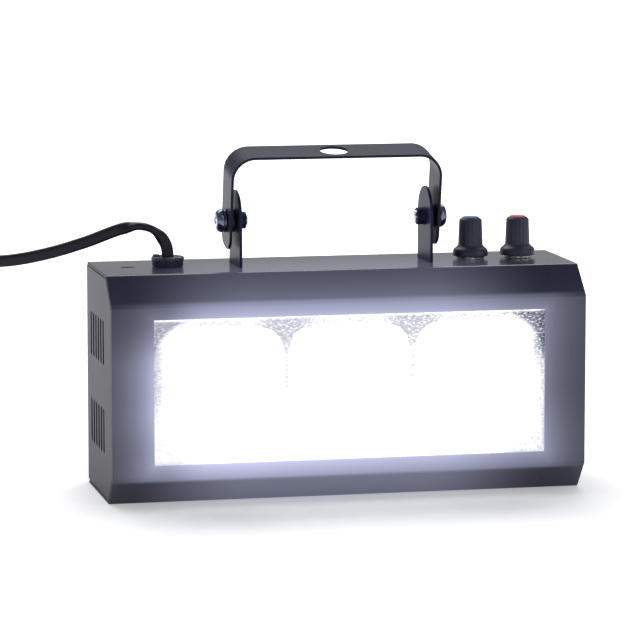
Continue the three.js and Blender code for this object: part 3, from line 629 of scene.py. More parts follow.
def baked_paint(name, tint, rough=0.17, glow=None, dull_ends=0.0, **constants):
    """Baked paint with a fine orange peel, a little dust and a few hairline scratches."""
    finish = Finish(name, **constants)
    peel = finish.noise(650)
    cloud = finish.noise(14, 4, 0.6)
    dust = finish.ramp(finish.cells(420), 0.1, 0.04) * finish.ramp(finish.noise(60), 0.5, 0.62)
    streaks = finish.noise((1400, 1400, 30), 1)
    hairs = finish.ramp(streaks, 0.71, 0.76) * finish.ramp(finish.noise(35), 0.52, 0.6)
    base = finish.mottled(cloud, tint, 0.8, 1.2)
    base = finish.blend(dust * 0.18, base, (0.35, 0.35, 0.38))
    base = finish.blend(hairs * 0.12, base, (0.3, 0.3, 0.33))
    # Painted light: the window's glow on the paint round the cut-out, given as emission.
    if glow is not None:
        finish.shade(Emission_Color=painted_window_glow(finish, glow), Emission_Strength=1.35)
    cut_end = finish.zone(abs(finish.x), -0.3, -0.05, at=SHELL_HIGH.x)
    rough = rough - 0.04 + cloud * 0.08 + dust * 0.3 + hairs * 0.1 + cut_end * dull_ends
    normal = finish.relief(peel + hairs * -0.4, 0.04, 0.4)
    return finish.shade(Base_Color=base, Roughness=rough, Normal=normal)


def painted_window_glow(finish, tint):
    """The lit window's light, painted onto the sheet round it as a glow: strong at the edge, a faint
    veil further out.
    """
    s = bpy.context.scene.strobe_housing
    x, y, z = finish.x, finish.y, finish.z
    middle = SHELL_HIGH.z / 2
    beyond_x = finish.beyond(abs(x), s.window_width / 2)
    beyond_z = finish.beyond(abs(z - middle), s.window_height / 2)
    above = finish.zone(z, 5, 30, at=middle)
    below = finish.zone(z, 0, -30, at=middle)
    falling_right = x * (0.13 / (82 * MM)) * (1 - above * 0.6)
    strength = 0.3 - falling_right + below * 0.1 - above * 0.06
    flat = finish.zone(y, 2.2, 0.2, at=SHELL_LOW.y)
    high_end = finish.zone(z, 10, 32, 0.0, 0.62, at=middle)
    low_end = finish.zone(z, -6, -26, 0.0, 0.38, at=middle)
    loss = finish.zone(x, -60, -80) * (high_end + low_end)
    near_fade = finish.distance(beyond_x, beyond_z) * (-1 / (8.5 * MM))
    near = strength * (1 - loss) * finish.maths("EXPONENT", near_fade) * flat
    across = finish.zone(abs(x + 5 * MM), 90, 36)
    margin = middle - s.bevel_rise - s.window_height / 2
    veil_fade = (margin - beyond_z) / finish.zone(z, -5, 5, 30 * MM, 13 * MM, at=middle)
    veil = (0.011 + across * 0.155) * finish.maths("EXPONENT", veil_fade)
    return finish.blend(near + veil * finish.zone(y, 36, -20), (0, 0, 0), tint)


def hammered_mirror():
    """Bright sheet with a fine hammered pattern. The cups' light is painted on: a white glow round each
    cup, painted shade away from them, and painted glints.
    """
    finish = Finish("hammered_mirror", Metallic=1.0)
    x, z = finish.x, finish.z
    middle = (TRAY_LOW.z + TRAY_HIGH.z) / 2
    corner = 13.5 * MM
    straight = CUP_SIZE / 2 - corner
    from_cup = abs(finish.maths("WRAP", x, CUP_PITCH / 2, -CUP_PITCH / 2))
    over_x = finish.beyond(finish.larger(from_cup, abs(x) - CUP_PITCH), straight)
    over_z = finish.beyond(abs(z - middle), straight)
    outside = finish.distance(over_x, over_z) - corner
    strip = finish.zone(z, 28.2, 29.2, at=middle)
    side = finish.zone(abs(x), 60, 70)
    between = finish.zone(z, -8, 2, 0.0, 0.6, at=middle)
    between = between + finish.zone(z, 11, 24, 0.0, 0.17, at=middle)
    left = finish.zone(x, 20, -20) * finish.zone(z, -22, 2, 0.0, 0.36, at=middle)
    high = finish.zone(z, 2, 18, 0.0, 0.62, at=middle) * finish.zone(x, -20, 20, 0.72)
    beside = finish.larger(left, high) + 0.44
    level = between + side * (beside - between)
    corner_shade_share = finish.zone(over_x, 0, 9, 0.74)
    upright = side * finish.zone(over_z, 8, 0, 0.0, 11 * MM)
    reach = side * (2.9 * MM) + upright + 1.7 * MM
    fade = finish.maths("DIVIDE", outside + upright + 0.8 * MM, reach, clamp=True)
    # Painted shade: how dark the sheet is painted away from the cups, lighter along the top strip.
    dim = fade * level * corner_shade_share * (1 - strip * 0.45)
    dashes = finish.noise((620, 620, 1250), 2, 0.6)
    # Painted glints: bright dashes on the hammered facets.
    spark = finish.ramp(dashes, 0.5, 0.64) * finish.zone(x, -78, 20, 0.15, 0.48)
    share = dim * (1 - spark)
    # Base colour and glow both follow the painted shade: white and glowing by the cups, dark and dim
    # away from them.
    return finish.shade(
        Base_Color=finish.blend(share, (0.93, 0.94, 0.97), (0.14, 0.14, 0.19)),
        Roughness=0.1 + dashes * 0.12,
        Normal=finish.relief(finish.cells(700, "SMOOTH_F1") + dashes * 0.5, 0.5, 1.0),
        Emission_Color=finish.blend(share, WHITE, (0.06, 0.06, 0.09)),
        Emission_Strength=1.1,
    )


def plated_steel(name, tint, rough, brushed=900):
    """Bright or black plate with fine turning marks."""
    finish = Finish(name, Metallic=1.0)
    marks = finish.noise((brushed, brushed, brushed * 3))
    return finish.shade(
        Base_Color=finish.mottled(finish.noise(200, 3), tint, 0.85, 1.1),
        Roughness=rough + marks * 0.12,
        Normal=finish.relief(marks, 0.02, 0.35),
    )


def zinc_painted_glints():
    """Dull plate with painted glints, small bright spots in its colour, as on the nuts under the knobs.
    """
    finish = Finish("pot_plate", Metallic=1.0)
    patches = finish.noise(330)
    # Painted glints: bright white patches in the plate's colour.
    painted_glint = finish.ramp(patches, 0.5, 0.57)
    return finish.shade(
        Base_Color=finish.blend(painted_glint, (0.3, 0.3, 0.35), WHITE),
        Roughness=0.34 - painted_glint * 0.1,
        Normal=finish.relief(patches, 0.1, 0.4),
    )


def screw_wear_painted_glints():
    """Black plate with bright patches round the cross recess and at the head's rim of the pivot screws:
    partly worn plate, partly painted glints.
    """
    finish = Finish("black_plate", Metallic=1.0)
    from_axis = finish.distance(finish.z - PIVOT.z, finish.y - PIVOT.y)
    scuffs = finish.noise(700, 2, 0.6)
    worn = finish.zone(from_axis, 3.6, 2.6) * finish.ramp(scuffs, 0.42, 0.55)
    rim = finish.zone(from_axis, 4.1, 4.6) * finish.ramp(scuffs, 0.6, 0.72)
    # Bright base colour in and round the recess and at the rim: wear and painted glints together.
    bare = finish.larger(worn, rim * 0.6)
    return finish.shade(
        Base_Color=finish.blend(bare, (0.15, 0.15, 0.23), (0.8, 0.8, 0.84)),
        Roughness=0.2 + bare * 0.16 + scuffs * 0.06,
        Normal=finish.relief(scuffs, 0.1, 0.5),
    )


def moulded(name, tint, rough):
    """Moulded plastic with a fine spark-eroded grain."""
    finish = Finish(name)
    fine = finish.noise(1500)
    cloud = finish.noise(70, 3)
    return finish.shade(
        Base_Color=finish.mottled(cloud, tint, 0.82, 1.18),
        Roughness=rough - 0.06 + cloud * 0.1 + fine * 0.06,
        Normal=finish.relief(fine, 0.03, 0.5),
    )


def cap_plastic(name, tint, x, y, side):
    """Glossy coloured plastic with a white pointer, to the right at side 1 and to the left at -1."""
    finish = Finish(name)
    cloud = finish.noise(90, 3)
    out = (finish.x - x) * side
    pointer = finish.zone(abs(finish.y - y), 0.36, 0.3) * finish.zone(out, 0.5, 0.62)
    base = finish.mottled(cloud, tint, 0.85, 1.15)
    return finish.shade(
        Base_Color=finish.blend(pointer, base, (0.72, 0.73, 0.75)),
        Roughness=0.28 + cloud * 0.08 + pointer * 0.2,
        Normal=finish.relief(cloud, 0.03, 0.3),
    )


def lit_module():
    """White ceramic under a clear dome, lit."""
    finish = Finish("lit_module")
    grain = finish.noise(500)
    return finish.shade(
        Base_Color=finish.blend(grain, (0.9, 0.92, 0.95), (0.98, 0.98, 1.0)),
        Roughness=0.2 + grain * 0.1,
        Emission_Color=WHITE,
        Emission_Strength=5.0,
    )


def clear_sheet():
    """Thin clear sheet, almost invisible, with its gloss."""
    finish = Finish("clear_sheet", IOR=1.45)
    haze = finish.noise(40, 3)
    return finish.shade(
        Base_Color=(0.9, 0.95, 1.0, 1.0), Roughness=0.02 + haze * 0.03, Alpha=0.05 + haze * 0.03
    )


def circuit_board():
    """Green solder mask with copper runs under it and tinned dots."""
    finish = Finish("circuit_board")
    mask = finish.ramp(finish.noise((260, 90, 90), 0), 0.5, 0.53)
    tinned = finish.ramp(finish.cells(260), 0.22, 0.16)
    base = finish.blend(mask, (0.015, 0.13, 0.05), (0.03, 0.22, 0.09))
    return finish.shade(
        Base_Color=finish.blend(tinned, base, (0.6, 0.6, 0.58)),
        Metallic=tinned * 0.9,
        Roughness=0.35 - tinned * 0.1,
        Normal=finish.relief(mask, 0.05, 0.6),
    )


def wound_core():
    """Dark ferrite with a band of yellow tape round the winding."""
    finish = Finish("wound_core")
    tape = finish.zone(abs(finish.z - middle_of("driver_transformer")[2]), 7.5, 7.1)
    folds = finish.noise((60, 60, 900))
    return finish.shade(
        Base_Color=finish.blend(tape, (0.05, 0.045, 0.04), (0.75, 0.5, 0.06)),
        Roughness=0.55 - tape * 0.2 + folds * 0.1,
        Normal=finish.relief(folds, 0.1, 0.5),
    )


def striped_sleeve():
    """Shrunk sleeve with a pale stripe along its middle."""
    finish = Finish("striped_sleeve")
    aside = abs(finish.x - middle_of("driver_capacitor")[0])
    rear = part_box("driver_capacitor")[1].y
    stripe = finish.zone(aside, 2.2, 2.0) * finish.zone(finish.y, -4, -3, at=rear)
    cloud = finish.noise(120)
    return finish.shade(
        Base_Color=finish.blend(stripe, (0.015, 0.02, 0.06), (0.55, 0.57, 0.6)),
        Roughness=0.25 + cloud * 0.1,
        Normal=finish.relief(cloud, 0.05, 0.4),
    )


def cord_sheath(name, tint):
    """Dull flexible sheath with a fine grain."""
    finish = Finish(name, IOR=1.36)
    cloud = finish.noise(90, 3)
    return finish.shade(
        Base_Color=finish.mottled(cloud, tint, 0.8, 1.3),
        Roughness=0.42 + cloud * 0.1,
        Normal=finish.relief(finish.noise(1800, 1) + cloud * 0.5, 0.02, 0.5),
    )


def sleeved_prong():
    """A plated prong with a black sleeve on the half next to the plug."""
    finish = Finish("prong_sleeved")
    bare = finish.zone(finish.x, -9.6, -9.8, at=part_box("plug_body")[0].x)
    marks = finish.noise(1400)
    return finish.shade(
        Base_Color=finish.blend(bare, PLUG_BLACK, (0.74, 0.72, 0.68)),
        Metallic=bare,
        Roughness=0.42 - bare * 0.2 + marks * 0.08,
        Normal=finish.relief(marks, 0.01, 0.4),
    )


# The stage


CAMERA_AZIMUTH = math.radians(-12.43)
CAMERA_ELEVATION = math.radians(7.792)
CAMERA_TARGET = Vector((-6.254, 0, 70.731)) * MM
CAMERA_DISTANCE = 1539.5
CAMERA_LENS = 206.54
LAMP_TARGET = Vector((0, 0, 0.05))


class STROBE_OT_stage(bpy.types.Operator):
    """Pale floor, soft studio light and the camera of the photograph."""

    bl_idname = "strobe.stage"
    bl_label = "Stage"

    def execute(self, context):
        self.camera(context)
        self.floor()
        self.lamp("key_light", at=(0, 1.1, 1.5), size=(2.4, 1.1), power=27)
        self.lamp("fill_light", at=(1.5, -1.4, 0.9), size=(0.6, 0.9), power=4)
        self.sky(context)
        context.scene.view_settings.view_transform = "Standard"
        return {"FINISHED"}

    def camera(self, context):
        flat = math.cos(CAMERA_ELEVATION)
        x, y = math.sin(CAMERA_AZIMUTH) * flat, -math.cos(CAMERA_AZIMUTH) * flat
        back = Vector((x, y, math.sin(CAMERA_ELEVATION)))
        lens = bpy.data.cameras.new("camera")
        lens.lens = CAMERA_LENS
        lens.sensor_width = 36
        camera = bpy.data.objects.new("camera", lens)
        context.scene.collection.objects.link(camera)
        camera.location = CAMERA_TARGET + back * CAMERA_DISTANCE * MM
        camera.rotation_euler = (-back).to_track_quat("-Z", "Y").to_euler()
        context.scene.camera = camera

    def lamp(self, name, at, size, power):
        let_go()
        bpy.ops.object.light_add(type="AREA", location=at)
        lamp = bpy.context.object
        lamp.name = name
        lamp.data.shape = "RECTANGLE"
        lamp.data.size, lamp.data.size_y = size
        lamp.data.energy = power
        lamp.rotation_euler = (Vector(at) - LAMP_TARGET).to_track_quat("Z", "Y").to_euler()

    def floor(self):
        """A white floor with a glow that only the camera, reflections and clear sheets see."""
        let_go()
        bpy.ops.mesh.primitive_plane_add(size=40)
        floor = started("floor")
        finish = Finish("floor_white", Roughness=0.9, Specular_IOR_Level=0.0)
        path = finish.node("ShaderNodeLightPath").outputs
        rays = [Value(finish, path[f"Is {kind} Ray"]) for kind in ("Camera", "Glossy", "Transmission")]
        seen = finish.larger(finish.larger(rays[0], rays[1]), rays[2])
        x, y = finish.x, finish.y
        beyond_x = finish.beyond(abs(x), SHELL_HIGH.x)
        away = finish.distance(beyond_x, finish.beyond(abs(y), SHELL_HIGH.y))
        # Painted shadow and light on the floor: the glow is weaker next to the housing and in a band in
        # front of it, and stronger past its ends.
        ahead = finish.larger(SHELL_LOW.y - y, 0.0)
        # The band in front of the housing where the glow is lowered, a painted shadow.
        lit = finish.zone(abs(x), 100, 50) * finish.zone(ahead, 0, 22) * finish.zone(ahead, 78, 24)
        glow = finish.ramp(away, 0.0, 0.14, 0.3, 0.52) + finish.ramp(away, 0.1, 1.5, 0.0, 0.3)
        glow = glow + finish.zone(abs(x), 85, 125, 0.0, 0.24) - lit * 0.27
        finish.shade(
            Base_Color=(0.86, 0.86, 0.87, 1.0), Emission_Color=WHITE, Emission_Strength=seen * glow
        )
        coat(floor, finish.material)

    def sky(self, context):
        """A dim ceiling over a bright band along the horizon."""
        world = bpy.data.worlds.new("studio")
        world.use_nodes = True
        context.scene.world = world
        sky = Nodes(world.node_tree)
        background = sky.tree.nodes["Background"]
        up = sky.parts(sky.node("ShaderNodeTexCoord").outputs["Generated"])[2]
        sky.feed(background.inputs["Color"], (0.93, 0.95, 1.0, 1.0))
        sky.feed(background.inputs["Strength"], sky.ramp(up, -0.1, 0.55, 0.57, 0.26))


# The cord and the plug, whose route is in millimetres


CORD_START = (-69.7, 6.75, 98.2)
CORD_PATH = [
    (-70.1, 6.75, 102.4),
    (-72.6, 6.75, 106.9),
    (-76.8, 6.75, 110.2),
    (-82.2, 6.75, 111.4),
    (-89.5, 6.75, 110.3),
    (-104.1, 6.75, 105.3),
    (-120.4, 6.75, 100.9),
    (-136.5, 6.75, 98.4),
    (-154, 6, 98.6),
    (-174, 3, 97.6),
    (-196, -4, 90.5),
    (-214, -13, 76),
    (-224, -22, 57),
    (-224, -30, 37),
    (-215, -35.5, 20),
    (-204, -37.6, 11.4),
]
TAIL_PATH = [(-205, 37.2, 2.6), (-214, 34.6, 2.7), (-223, 30.5, 3), (-232, 26, 4)]
COIL_MIDDLE = (-192, 0)
COIL_RADIUS = 38
COIL_MEAN_RADIUS = 30
COIL_TURNS = 3
COIL_PITCH = 6.5
COIL_CROSSING = 0.5
COIL_LAYER_RISE = 5.7
CORD_CENTRE = 2.5
LEAD_IN = (5.3, 2.5)
CORD_IN_PLUG = 2
OVAL_POWER = 0.75
WAIST_SHARES = (0.1, 0.3)
RINGS_TO_A_HOLD = 12
PLUG_PLACE = Vector((-262, 19, 6.85))
PLUG_ANGLE = math.radians(184)
PLUG_HEADING = Vector((math.cos(PLUG_ANGLE), math.sin(PLUG_ANGLE), 0))


def eased(share):
    """A share from 0 to 1 that starts and ends slowly."""
    return share * share * (3 - 2 * share)


def smooth_through(points, step):
    """Points at about a step's distance on a smooth curve through the given ones."""
    points = [2 * points[0] - points[1], *points, 2 * points[-1] - points[-2]]
    route = []
    for p0, p1, p2, p3 in zip(points, points[1:], points[2:], points[3:]):
        a, b, c = ((q - p).length ** 0.5 for p, q in ((p0, p1), (p1, p2), (p2, p3)))
        leaving = ((p1 - p0) / a - (p2 - p0) / (a + b) + (p2 - p1) / b) * b
        arriving = ((p2 - p1) / b - (p3 - p1) / (b + c) + (p3 - p2) / c) * b
        square = 3 * (p2 - p1) - 2 * leaving - arriving
        cube = 2 * (p1 - p2) + leaving + arriving
        count = max(1, round((p2 - p1).length / step))
        for t in (i / count for i in range(count)):
            route.append(p1 + leaving * t + square * t * t + cube * t**3)
    return [*route, points[-2]]


def coil_point(turns):
    """A point of the coil: in from the outside on the upper layer, out again on the lower one."""
    inner = COIL_RADIUS - COIL_PITCH * COIL_TURNS
    back = max(turns - COIL_TURNS - COIL_CROSSING, 0)
    radius = COIL_RADIUS - COIL_PITCH * turns if turns < COIL_TURNS else inner + COIL_PITCH * back
    fall = eased(min(max((turns - COIL_TURNS) / COIL_CROSSING, 0), 1))
    angle = 2 * math.pi * turns - math.pi / 2
    x = COIL_MIDDLE[0] + radius * math.cos(angle)
    y = COIL_MIDDLE[1] + radius * math.sin(angle)
    return Vector((x, y, CORD_CENTRE + COIL_LAYER_RISE * (1 - fall)))


def cord_route(step):
    """The whole cord's centreline in metres, and the places of its coil in that list."""
    total = 2 * COIL_TURNS + COIL_CROSSING
    count = round(total * 2 * math.pi * COIL_MEAN_RADIUS / step)
    coil = [coil_point(total * i / count) for i in range(count + 1)]
    inwards = (coil[1] - coil[0]).normalized()
    outwards = (coil[-1] - coil[-2]).normalized()
    lead_in = [coil[0] - inwards * before for before in LEAD_IN]
    lead_out = [coil[-1] + outwards * after for after in reversed(LEAD_IN)]
    into_plug = [PLUG_PLACE + PLUG_HEADING * after for after in (-LEAD_IN[0], CORD_IN_PLUG)]
    free = smooth_through([*map(Vector, (CORD_START, *CORD_PATH)), *lead_in, coil[0]], step)
    tail = smooth_through([coil[-1], *lead_out, *map(Vector, TAIL_PATH), *into_plug], step)
    route = [*free[:-1], *coil, *tail[1:]]
    return [point * MM for point in route], len(free) - 1, len(free) + len(coil) - 2


class STROBE_OT_cord(bpy.types.Operator):
    """The flat mains cord: the arch, the coil and the tail to the plug, in one piece."""

    bl_idname = "strobe.cord"
    bl_label = "Mains cord"

    def execute(self, context):
        s = context.scene.strobe_cord
        route, coil_start, coil_end = cord_route(s.step / MM)
        ends = zip([route[0], *route[:-1]], [*route[1:], route[-1]])
        headings = [(after - before).normalized() for before, after in ends]
        widths = self.flat_side(route, headings, coil_start, coil_end)
        section = self.section(s.width / 2, s.thickness / 2)
        corners, faces = [], []
        for point, heading, width in zip(route, headings, widths):
            normal = heading.cross(width)
            corners += [point + width * a + normal * b for a, b in section]
        count = len(section)
        for here in range(0, len(corners) - count, count):
            there = here + count
            for i in range(count):
                j = (i + 1) % count
                faces.append((here + i, here + j, there + j, there + i))
        faces += [tuple(reversed(range(count))), tuple(range(len(corners) - count, len(corners)))]
        mesh = bpy.data.meshes.new("mains_cord")
        mesh.from_pydata(corners, [], faces)
        cord = bpy.data.objects.new("mains_cord", mesh)
        context.collection.objects.link(cord)
        finish = cord_sheath("cord_rubber", context.scene.strobe_colours.cord)
        nodes = ("supply_cord", "supply_cord_coil", "supply_cord_tail")
        dress(cord, finish, "housing", "cord_sheath", *nodes, angle=60)
        return {"FINISHED"}

    def section(self, half_width, half_thickness, steps=20):
        """A flat oval with a shallow waist between its two cores."""
        ring = []
        depth, reach = WAIST_SHARES
        for i in range(steps):
            angle = 2 * math.pi * i / steps
            round_parts = (math.cos(angle), math.sin(angle))
            across, up = (math.copysign(abs(part) ** OVAL_POWER, part) for part in round_parts)
            waist = 1 - depth * math.exp(-((across / reach) ** 2))
            ring.append((half_width * across, half_thickness * up * waist))
        return ring

    def flat_side(self, route, headings, coil_start, coil_end):
        """The direction of the cord's width at each point, turned smoothly from hold to hold."""
        right, level, upright = Vector((1, 0, 0)), Vector((0, 1, 0)), Vector((0, 0, 1))
        across = upright.cross(PLUG_HEADING)
        carried = [right]
        for before, after in zip(headings, headings[1:]):
            side = before.rotation_difference(after) @ carried[-1]
            carried.append((side - after * side.dot(after)).normalized())
        holds = [(0, right), (3, right)]
        for x, side in ((-76, level), (-81, level), (-91, upright), (-140, upright)):
            holds.append((next(i for i, point in enumerate(route) if point.x < x * MM), side))
        holds += [(i, upright) for i in (*range(coil_start, coil_end, RINGS_TO_A_HOLD), coil_end)]
        holds += [(len(route) - 3, across), (len(route) - 1, across)]
        turns = []
        for i, side in holds:
            beside = headings[i].cross(carried[i])
            angle = math.atan2(side.dot(beside), side.dot(carried[i]))
            if turns:
                angle += math.pi * round((turns[-1][1] - angle) / math.pi)
            turns.append((i, angle))
        widths = []
        spans = iter(zip(turns, turns[1:]))
        (start, from_angle), (end, to_angle) = next(spans)
        for i, (heading, side) in enumerate(zip(headings, carried)):
            while i > end:
                (start, from_angle), (end, to_angle) = next(spans)
            share = eased((i - start) / max(1, end - start))
            angle = from_angle + (to_angle - from_angle) * share
            widths.append(side * math.cos(angle) + heading.cross(side) * math.sin(angle))
        return widths


# The boot and the prongs in millimetres, each rib as seen from where it starts
BOOT_TIP = 3.2
BOOT_WIDENING = 2.4
BOOT_IN_PLUG = 3
BOOT_RIBS = 5
FIRST_RIB = 1.6
RIB_PITCH = 2.4
RIB_PROFILE = ((0, 0), (-0.7, 0.3), (-0.6, 1.1), (0.3, 1.4))
PLUG_TAPER_SHARE = 0.82
PRONG_PROFILE = (
    (0, -4.7), (2, -4.7), (2, 9.6), (1.86, 9.8), (1.86, 17.6), (1.6, 18.4), (1.1, 18.85), (0, 19)
)


class STROBE_OT_plug(bpy.types.Operator):
    """The flat two-pin plug at the cord's end."""

    bl_idname = "strobe.plug"
    bl_label = "Plug"

    def execute(self, context):
        s = context.scene.strobe_plug
        half, deep = s.width / 2, s.depth / 2
        body = block("plug", (s.boot, -half, -deep), (s.face, half, deep))
        with Shaping(body) as shape:
            shape.all()
            shape.split((s.shoulder, 0, 0), (1, 0, 0))
            shape.corners(lambda at: at.x < s.boot + NEAR)
            shape.widen(1, deep / half, PLUG_TAPER_SHARE, (s.boot, 0, 0))
            shape.edges(lambda at, run: abs(run.z) > ALONG and at.x > s.face - NEAR)
            shape.soften(s.corner, 6)
            shape.edges(lambda at, run: abs(run.z) > ALONG and abs(at.x - s.shoulder) < NEAR)
            shape.soften(s.waist, 5)
            shape.faces(lambda at, out: abs(out.z) > ALONG and at.x > (s.boot + s.shoulder) / 2)
            bpy.ops.mesh.inset(thickness=s.border)
            shape.widen(1, 1, 1 - s.sunk / deep, ((s.shoulder + s.face) / 2, 0, 0))
        break_edges(body, s.edge, 4, 30, clamp=True)
        fuse(body, self.boot(s.boot / MM))
        place(body, PLUG_PLACE * MM, (0, 0, PLUG_ANGLE))
        dress(body, moulded("plug_shell", PLUG_BLACK, 0.4), "housing", "plug_plastic", "plug_body")
        prong = turned("plug_prong", PRONG_PROFILE, 24, MM)
        place(prong, (s.face, 0, 0), SIDEWAYS)
        finish = sleeved_prong()
        for i, side in enumerate((-1, 1), 1):
            piece = copied(prong, f"plug_prong_{i}", (0, side * s.prong_pitch / 2, 0))
            place(piece, PLUG_PLACE * MM, (0, 0, PLUG_ANGLE))
            dress(piece, finish, "housing", "pin_metal", f"plug_pin_{i}")
        bpy.data.objects.remove(prong)
        return {"FINISHED"}

    def boot(self, end):
        """The ribbed sleeve round the cord, widening towards the plug, in millimetres."""
        rings = [(0, 0.3), (BOOT_TIP - 0.5, 0), (BOOT_TIP, 0.6)]
        for i in range(BOOT_RIBS):
            start = FIRST_RIB + RIB_PITCH * i
            radius = BOOT_TIP + BOOT_WIDENING * i / BOOT_RIBS
            rings += [(radius + wider, start + along) for wider, along in RIB_PROFILE]
        widest = BOOT_TIP + BOOT_WIDENING
        rings += [(widest, end), (widest, end + BOOT_IN_PLUG), (0, end + BOOT_IN_PLUG)]
        boot = place(turned("plug_boot", rings, 32, MM), (0, 0, 0), SIDEWAYS)
        return break_edges(boot, 0.15 * MM, angle=30)


# The housing


SCREW_HOLE = 1.75 * MM
KNOB_HOLE = 3.8 * MM
RELIEF_HOLE = 5.9 * MM
BRACKET_SLOT = 1.5 * MM
BRACKET_SLOT_INSET = 0.6 * MM
BRACKET_PLAY = 0.2 * MM
NOTCH_WIDTH = 1.5 * MM
NOTCH_DEPTH = 2 * MM
SIDE_SLOT_X = -88 * MM
SIDE_SLOT_RADIUS = 1.5 * MM
SIDE_SLOT_RUN = 2.8 * MM
VENT_MIDDLE = 4.5 * MM
VENT_RISE = 18.4 * MM


class STROBE_OT_front_sheet(bpy.types.Operator):
    """The folded front sheet with its window, bevels, fold-ins and holes."""

    bl_idname = "strobe.front_sheet"
    bl_label = "Front sheet"

    def execute(self, context):
        s = context.scene.strobe_housing
        width = SHELL_HIGH.x - SHELL_LOW.x
        front, back, top = SHELL_LOW.y, SHELL_HIGH.y, SHELL_HIGH.z
        upper, lower = top - s.bevel_rise, s.bevel_rise
        middle = (upper + lower) / 2
        shell = sheet("front_sheet", width, upper - lower, (0, front, middle), FORWARDS)

        def at_fold(y, z):
            return lambda at, run: abs(run.x) > ALONG and math.hypot(at.y - y, at.z - z) < NEAR

        with Shaping(shell) as shape:
            for side in (-1, 1):
                shape.all()
                shape.split((side * s.window_width / 2, front, 0), (1, 0, 0))
            for side in (-1, 1):
                shape.faces(lambda at, out: abs(at.x) < s.window_width / 3)
                shape.split((0, front, middle + side * s.window_height / 2), (0, 0, 1))
            shape.faces(lambda at, out: abs(at.x) < NEAR and abs(at.z - middle) < NEAR)
            shape.remove()
            for z, depth, way in ((upper, s.top_bevel_depth, 1), (lower, s.bottom_bevel_depth, -1)):
                shape.edges(at_fold(front, z))
                shape.draw_out(0, depth, way * s.bevel_rise)
                shape.draw_out(0, back - front - depth, 0)
                shape.draw_out(0, 0, -way * s.lip)
            folds = [(front, upper), (front, lower)]
            folds += [(front + s.top_bevel_depth, top), (front + s.bottom_bevel_depth, 0)]
            for y, z in folds:
                shape.edges(at_fold(y, z))
                shape.soften(s.bend, 4)
            for z in (0, top):
                shape.edges(at_fold(back, z))
                shape.soften(s.rear_bend, 6)
        thicken(shell, s.sheet)
        carve(shell, *self.openings())
        break_edges(shell, s.edge)
        tints = context.scene.strobe_colours
        # The housing coat carries the painted glow of the window round the cut-out.
        finish = baked_paint("housing_coat", tints.paint, glow=tints.glow, dull_ends=0.4, IOR=1.42)
        dress(shell, finish, "housing", "housing_paint", "front_shell", flat=True)
        return {"FINISHED"}

    def openings(self):
        """Cutters for the slots and holes of the top, the rear sheet's corners and its screws."""
        line, back = PIVOT.y, SHELL_HIGH.y
        above, below = SHELL_HIGH.z + PAST, SHELL_HIGH.z - PAST
        wide, half = BRACKET_SLOT / 2, (BRACKET_HIGH.y - BRACKET_LOW.y) / 2 + BRACKET_PLAY
        cutters = []
        for side in (-1, 1):
            x = side * (BRACKET_HIGH.x - BRACKET_SLOT_INSET)
            low, high = (x - wide, line - half, below), (x + wide, line + half, above)
            cutters.append(block("slot", low, high))
            inner, outer = side * (SHELL_HIGH.x - NOTCH_WIDTH), side * (SHELL_HIGH.x + PAST)
            low, high = (inner, back - NOTCH_DEPTH, -PAST), (outer, back + PAST, above)
            cutters.append(block("notch", low, high))
        holes = [(middle_of(f"{dial}_knob")[0], KNOB_HOLE, 32) for dial in ("speed", "level")]
        holes.append((middle_of("strain_relief")[0], RELIEF_HOLE, 48))
        for x, radius, sides in holes:
            cutters.append(rod("hole", radius, (x, line, below), (x, line, above), sides))
        start, end = (SIDE_SLOT_X, line, below), (SIDE_SLOT_X, line, above)
        cutters.append(long_rod("hole", SIDE_SLOT_RADIUS, start, end, 24, (SIDE_SLOT_RUN, 0, 0)))
        return cutters + rods_at("cover_screw", SCREW_HOLE, back)


class STROBE_OT_rear_sheet(bpy.types.Operator):
    """The rear sheet: the back plate and the two vented end plates, bent from one piece."""

    bl_idname = "strobe.rear_sheet"
    bl_label = "Rear sheet"

    def execute(self, context):
        s = context.scene.strobe_housing
        low, high = COVER_LOW, COVER_HIGH
        middle = (low.z + high.z) / 2
        size = (high.x - low.x, high.z - low.z)
        cover = sheet("rear_sheet", *size, (0, high.y, middle), BACKWARDS)
        fit = low.z + 0.2 * MM
        top_bevel = (SHELL_HIGH.z - s.bevel_rise, s.top_bevel_depth)
        bottom_bevel = (s.bevel_rise, -s.bottom_bevel_depth)
        with Shaping(cover) as shape:
            for side in (-1, 1):
                shape.edges(lambda at, run: at.x * side > high.x - NEAR)
                shape.draw_out(0, low.y - high.y, 0)
            for z, depth in (top_bevel, bottom_bevel):
                across = Vector((0, -s.bevel_rise, depth)).normalized()
                shape.all()
                shape.split(Vector((0, SHELL_LOW.y, z)) - across * fit, across, clear_outer=True)
            shape.edges(lambda at, run: abs(run.z) > ALONG and at.y > high.y - NEAR)
            shape.soften(s.rear_bend, 6)
        thicken(cover, s.sheet)
        cutters = []
        reach, drop = high.x + PAST, (s.vent_height - s.vent_width) / 2
        for group in (-1, 1):
            z = middle + group * VENT_RISE - drop
            for column in range(s.vent_columns):
                y = VENT_MIDDLE + (column - (s.vent_columns - 1) / 2) * s.vent_pitch
                start, end = (-reach, y, z), (reach, y, z)
                cutters.append(long_rod("vent", s.vent_width / 2, start, end, 16, (0, 0, 2 * drop)))
        cutters += rods_at("cover_screw", SCREW_HOLE, high.y)
        carve(cover, *cutters)
        break_edges(cover, s.edge)
        finish = baked_paint("rear_coat", context.scene.strobe_colours.paint, 0.4, IOR=1.17)
        dress(cover, finish, "housing", "housing_paint", "rear_cover", flat=True)
        return {"FINISHED"}


HEAD_SHARES = (
    (0, 1), (0.3, 0.985), (0.55, 0.94), (0.75, 0.83), (0.9, 0.62), (0.98, 0.35), (1, 0.12), (0.985, 0)
)
THREAD_SHARES = ((0.86, 0.5), (1, 0.9), (1, 1))
SHANK_TIP_SHARE = 0.8
RECESS_TAPER_SHARES = (0.5, 0.7)


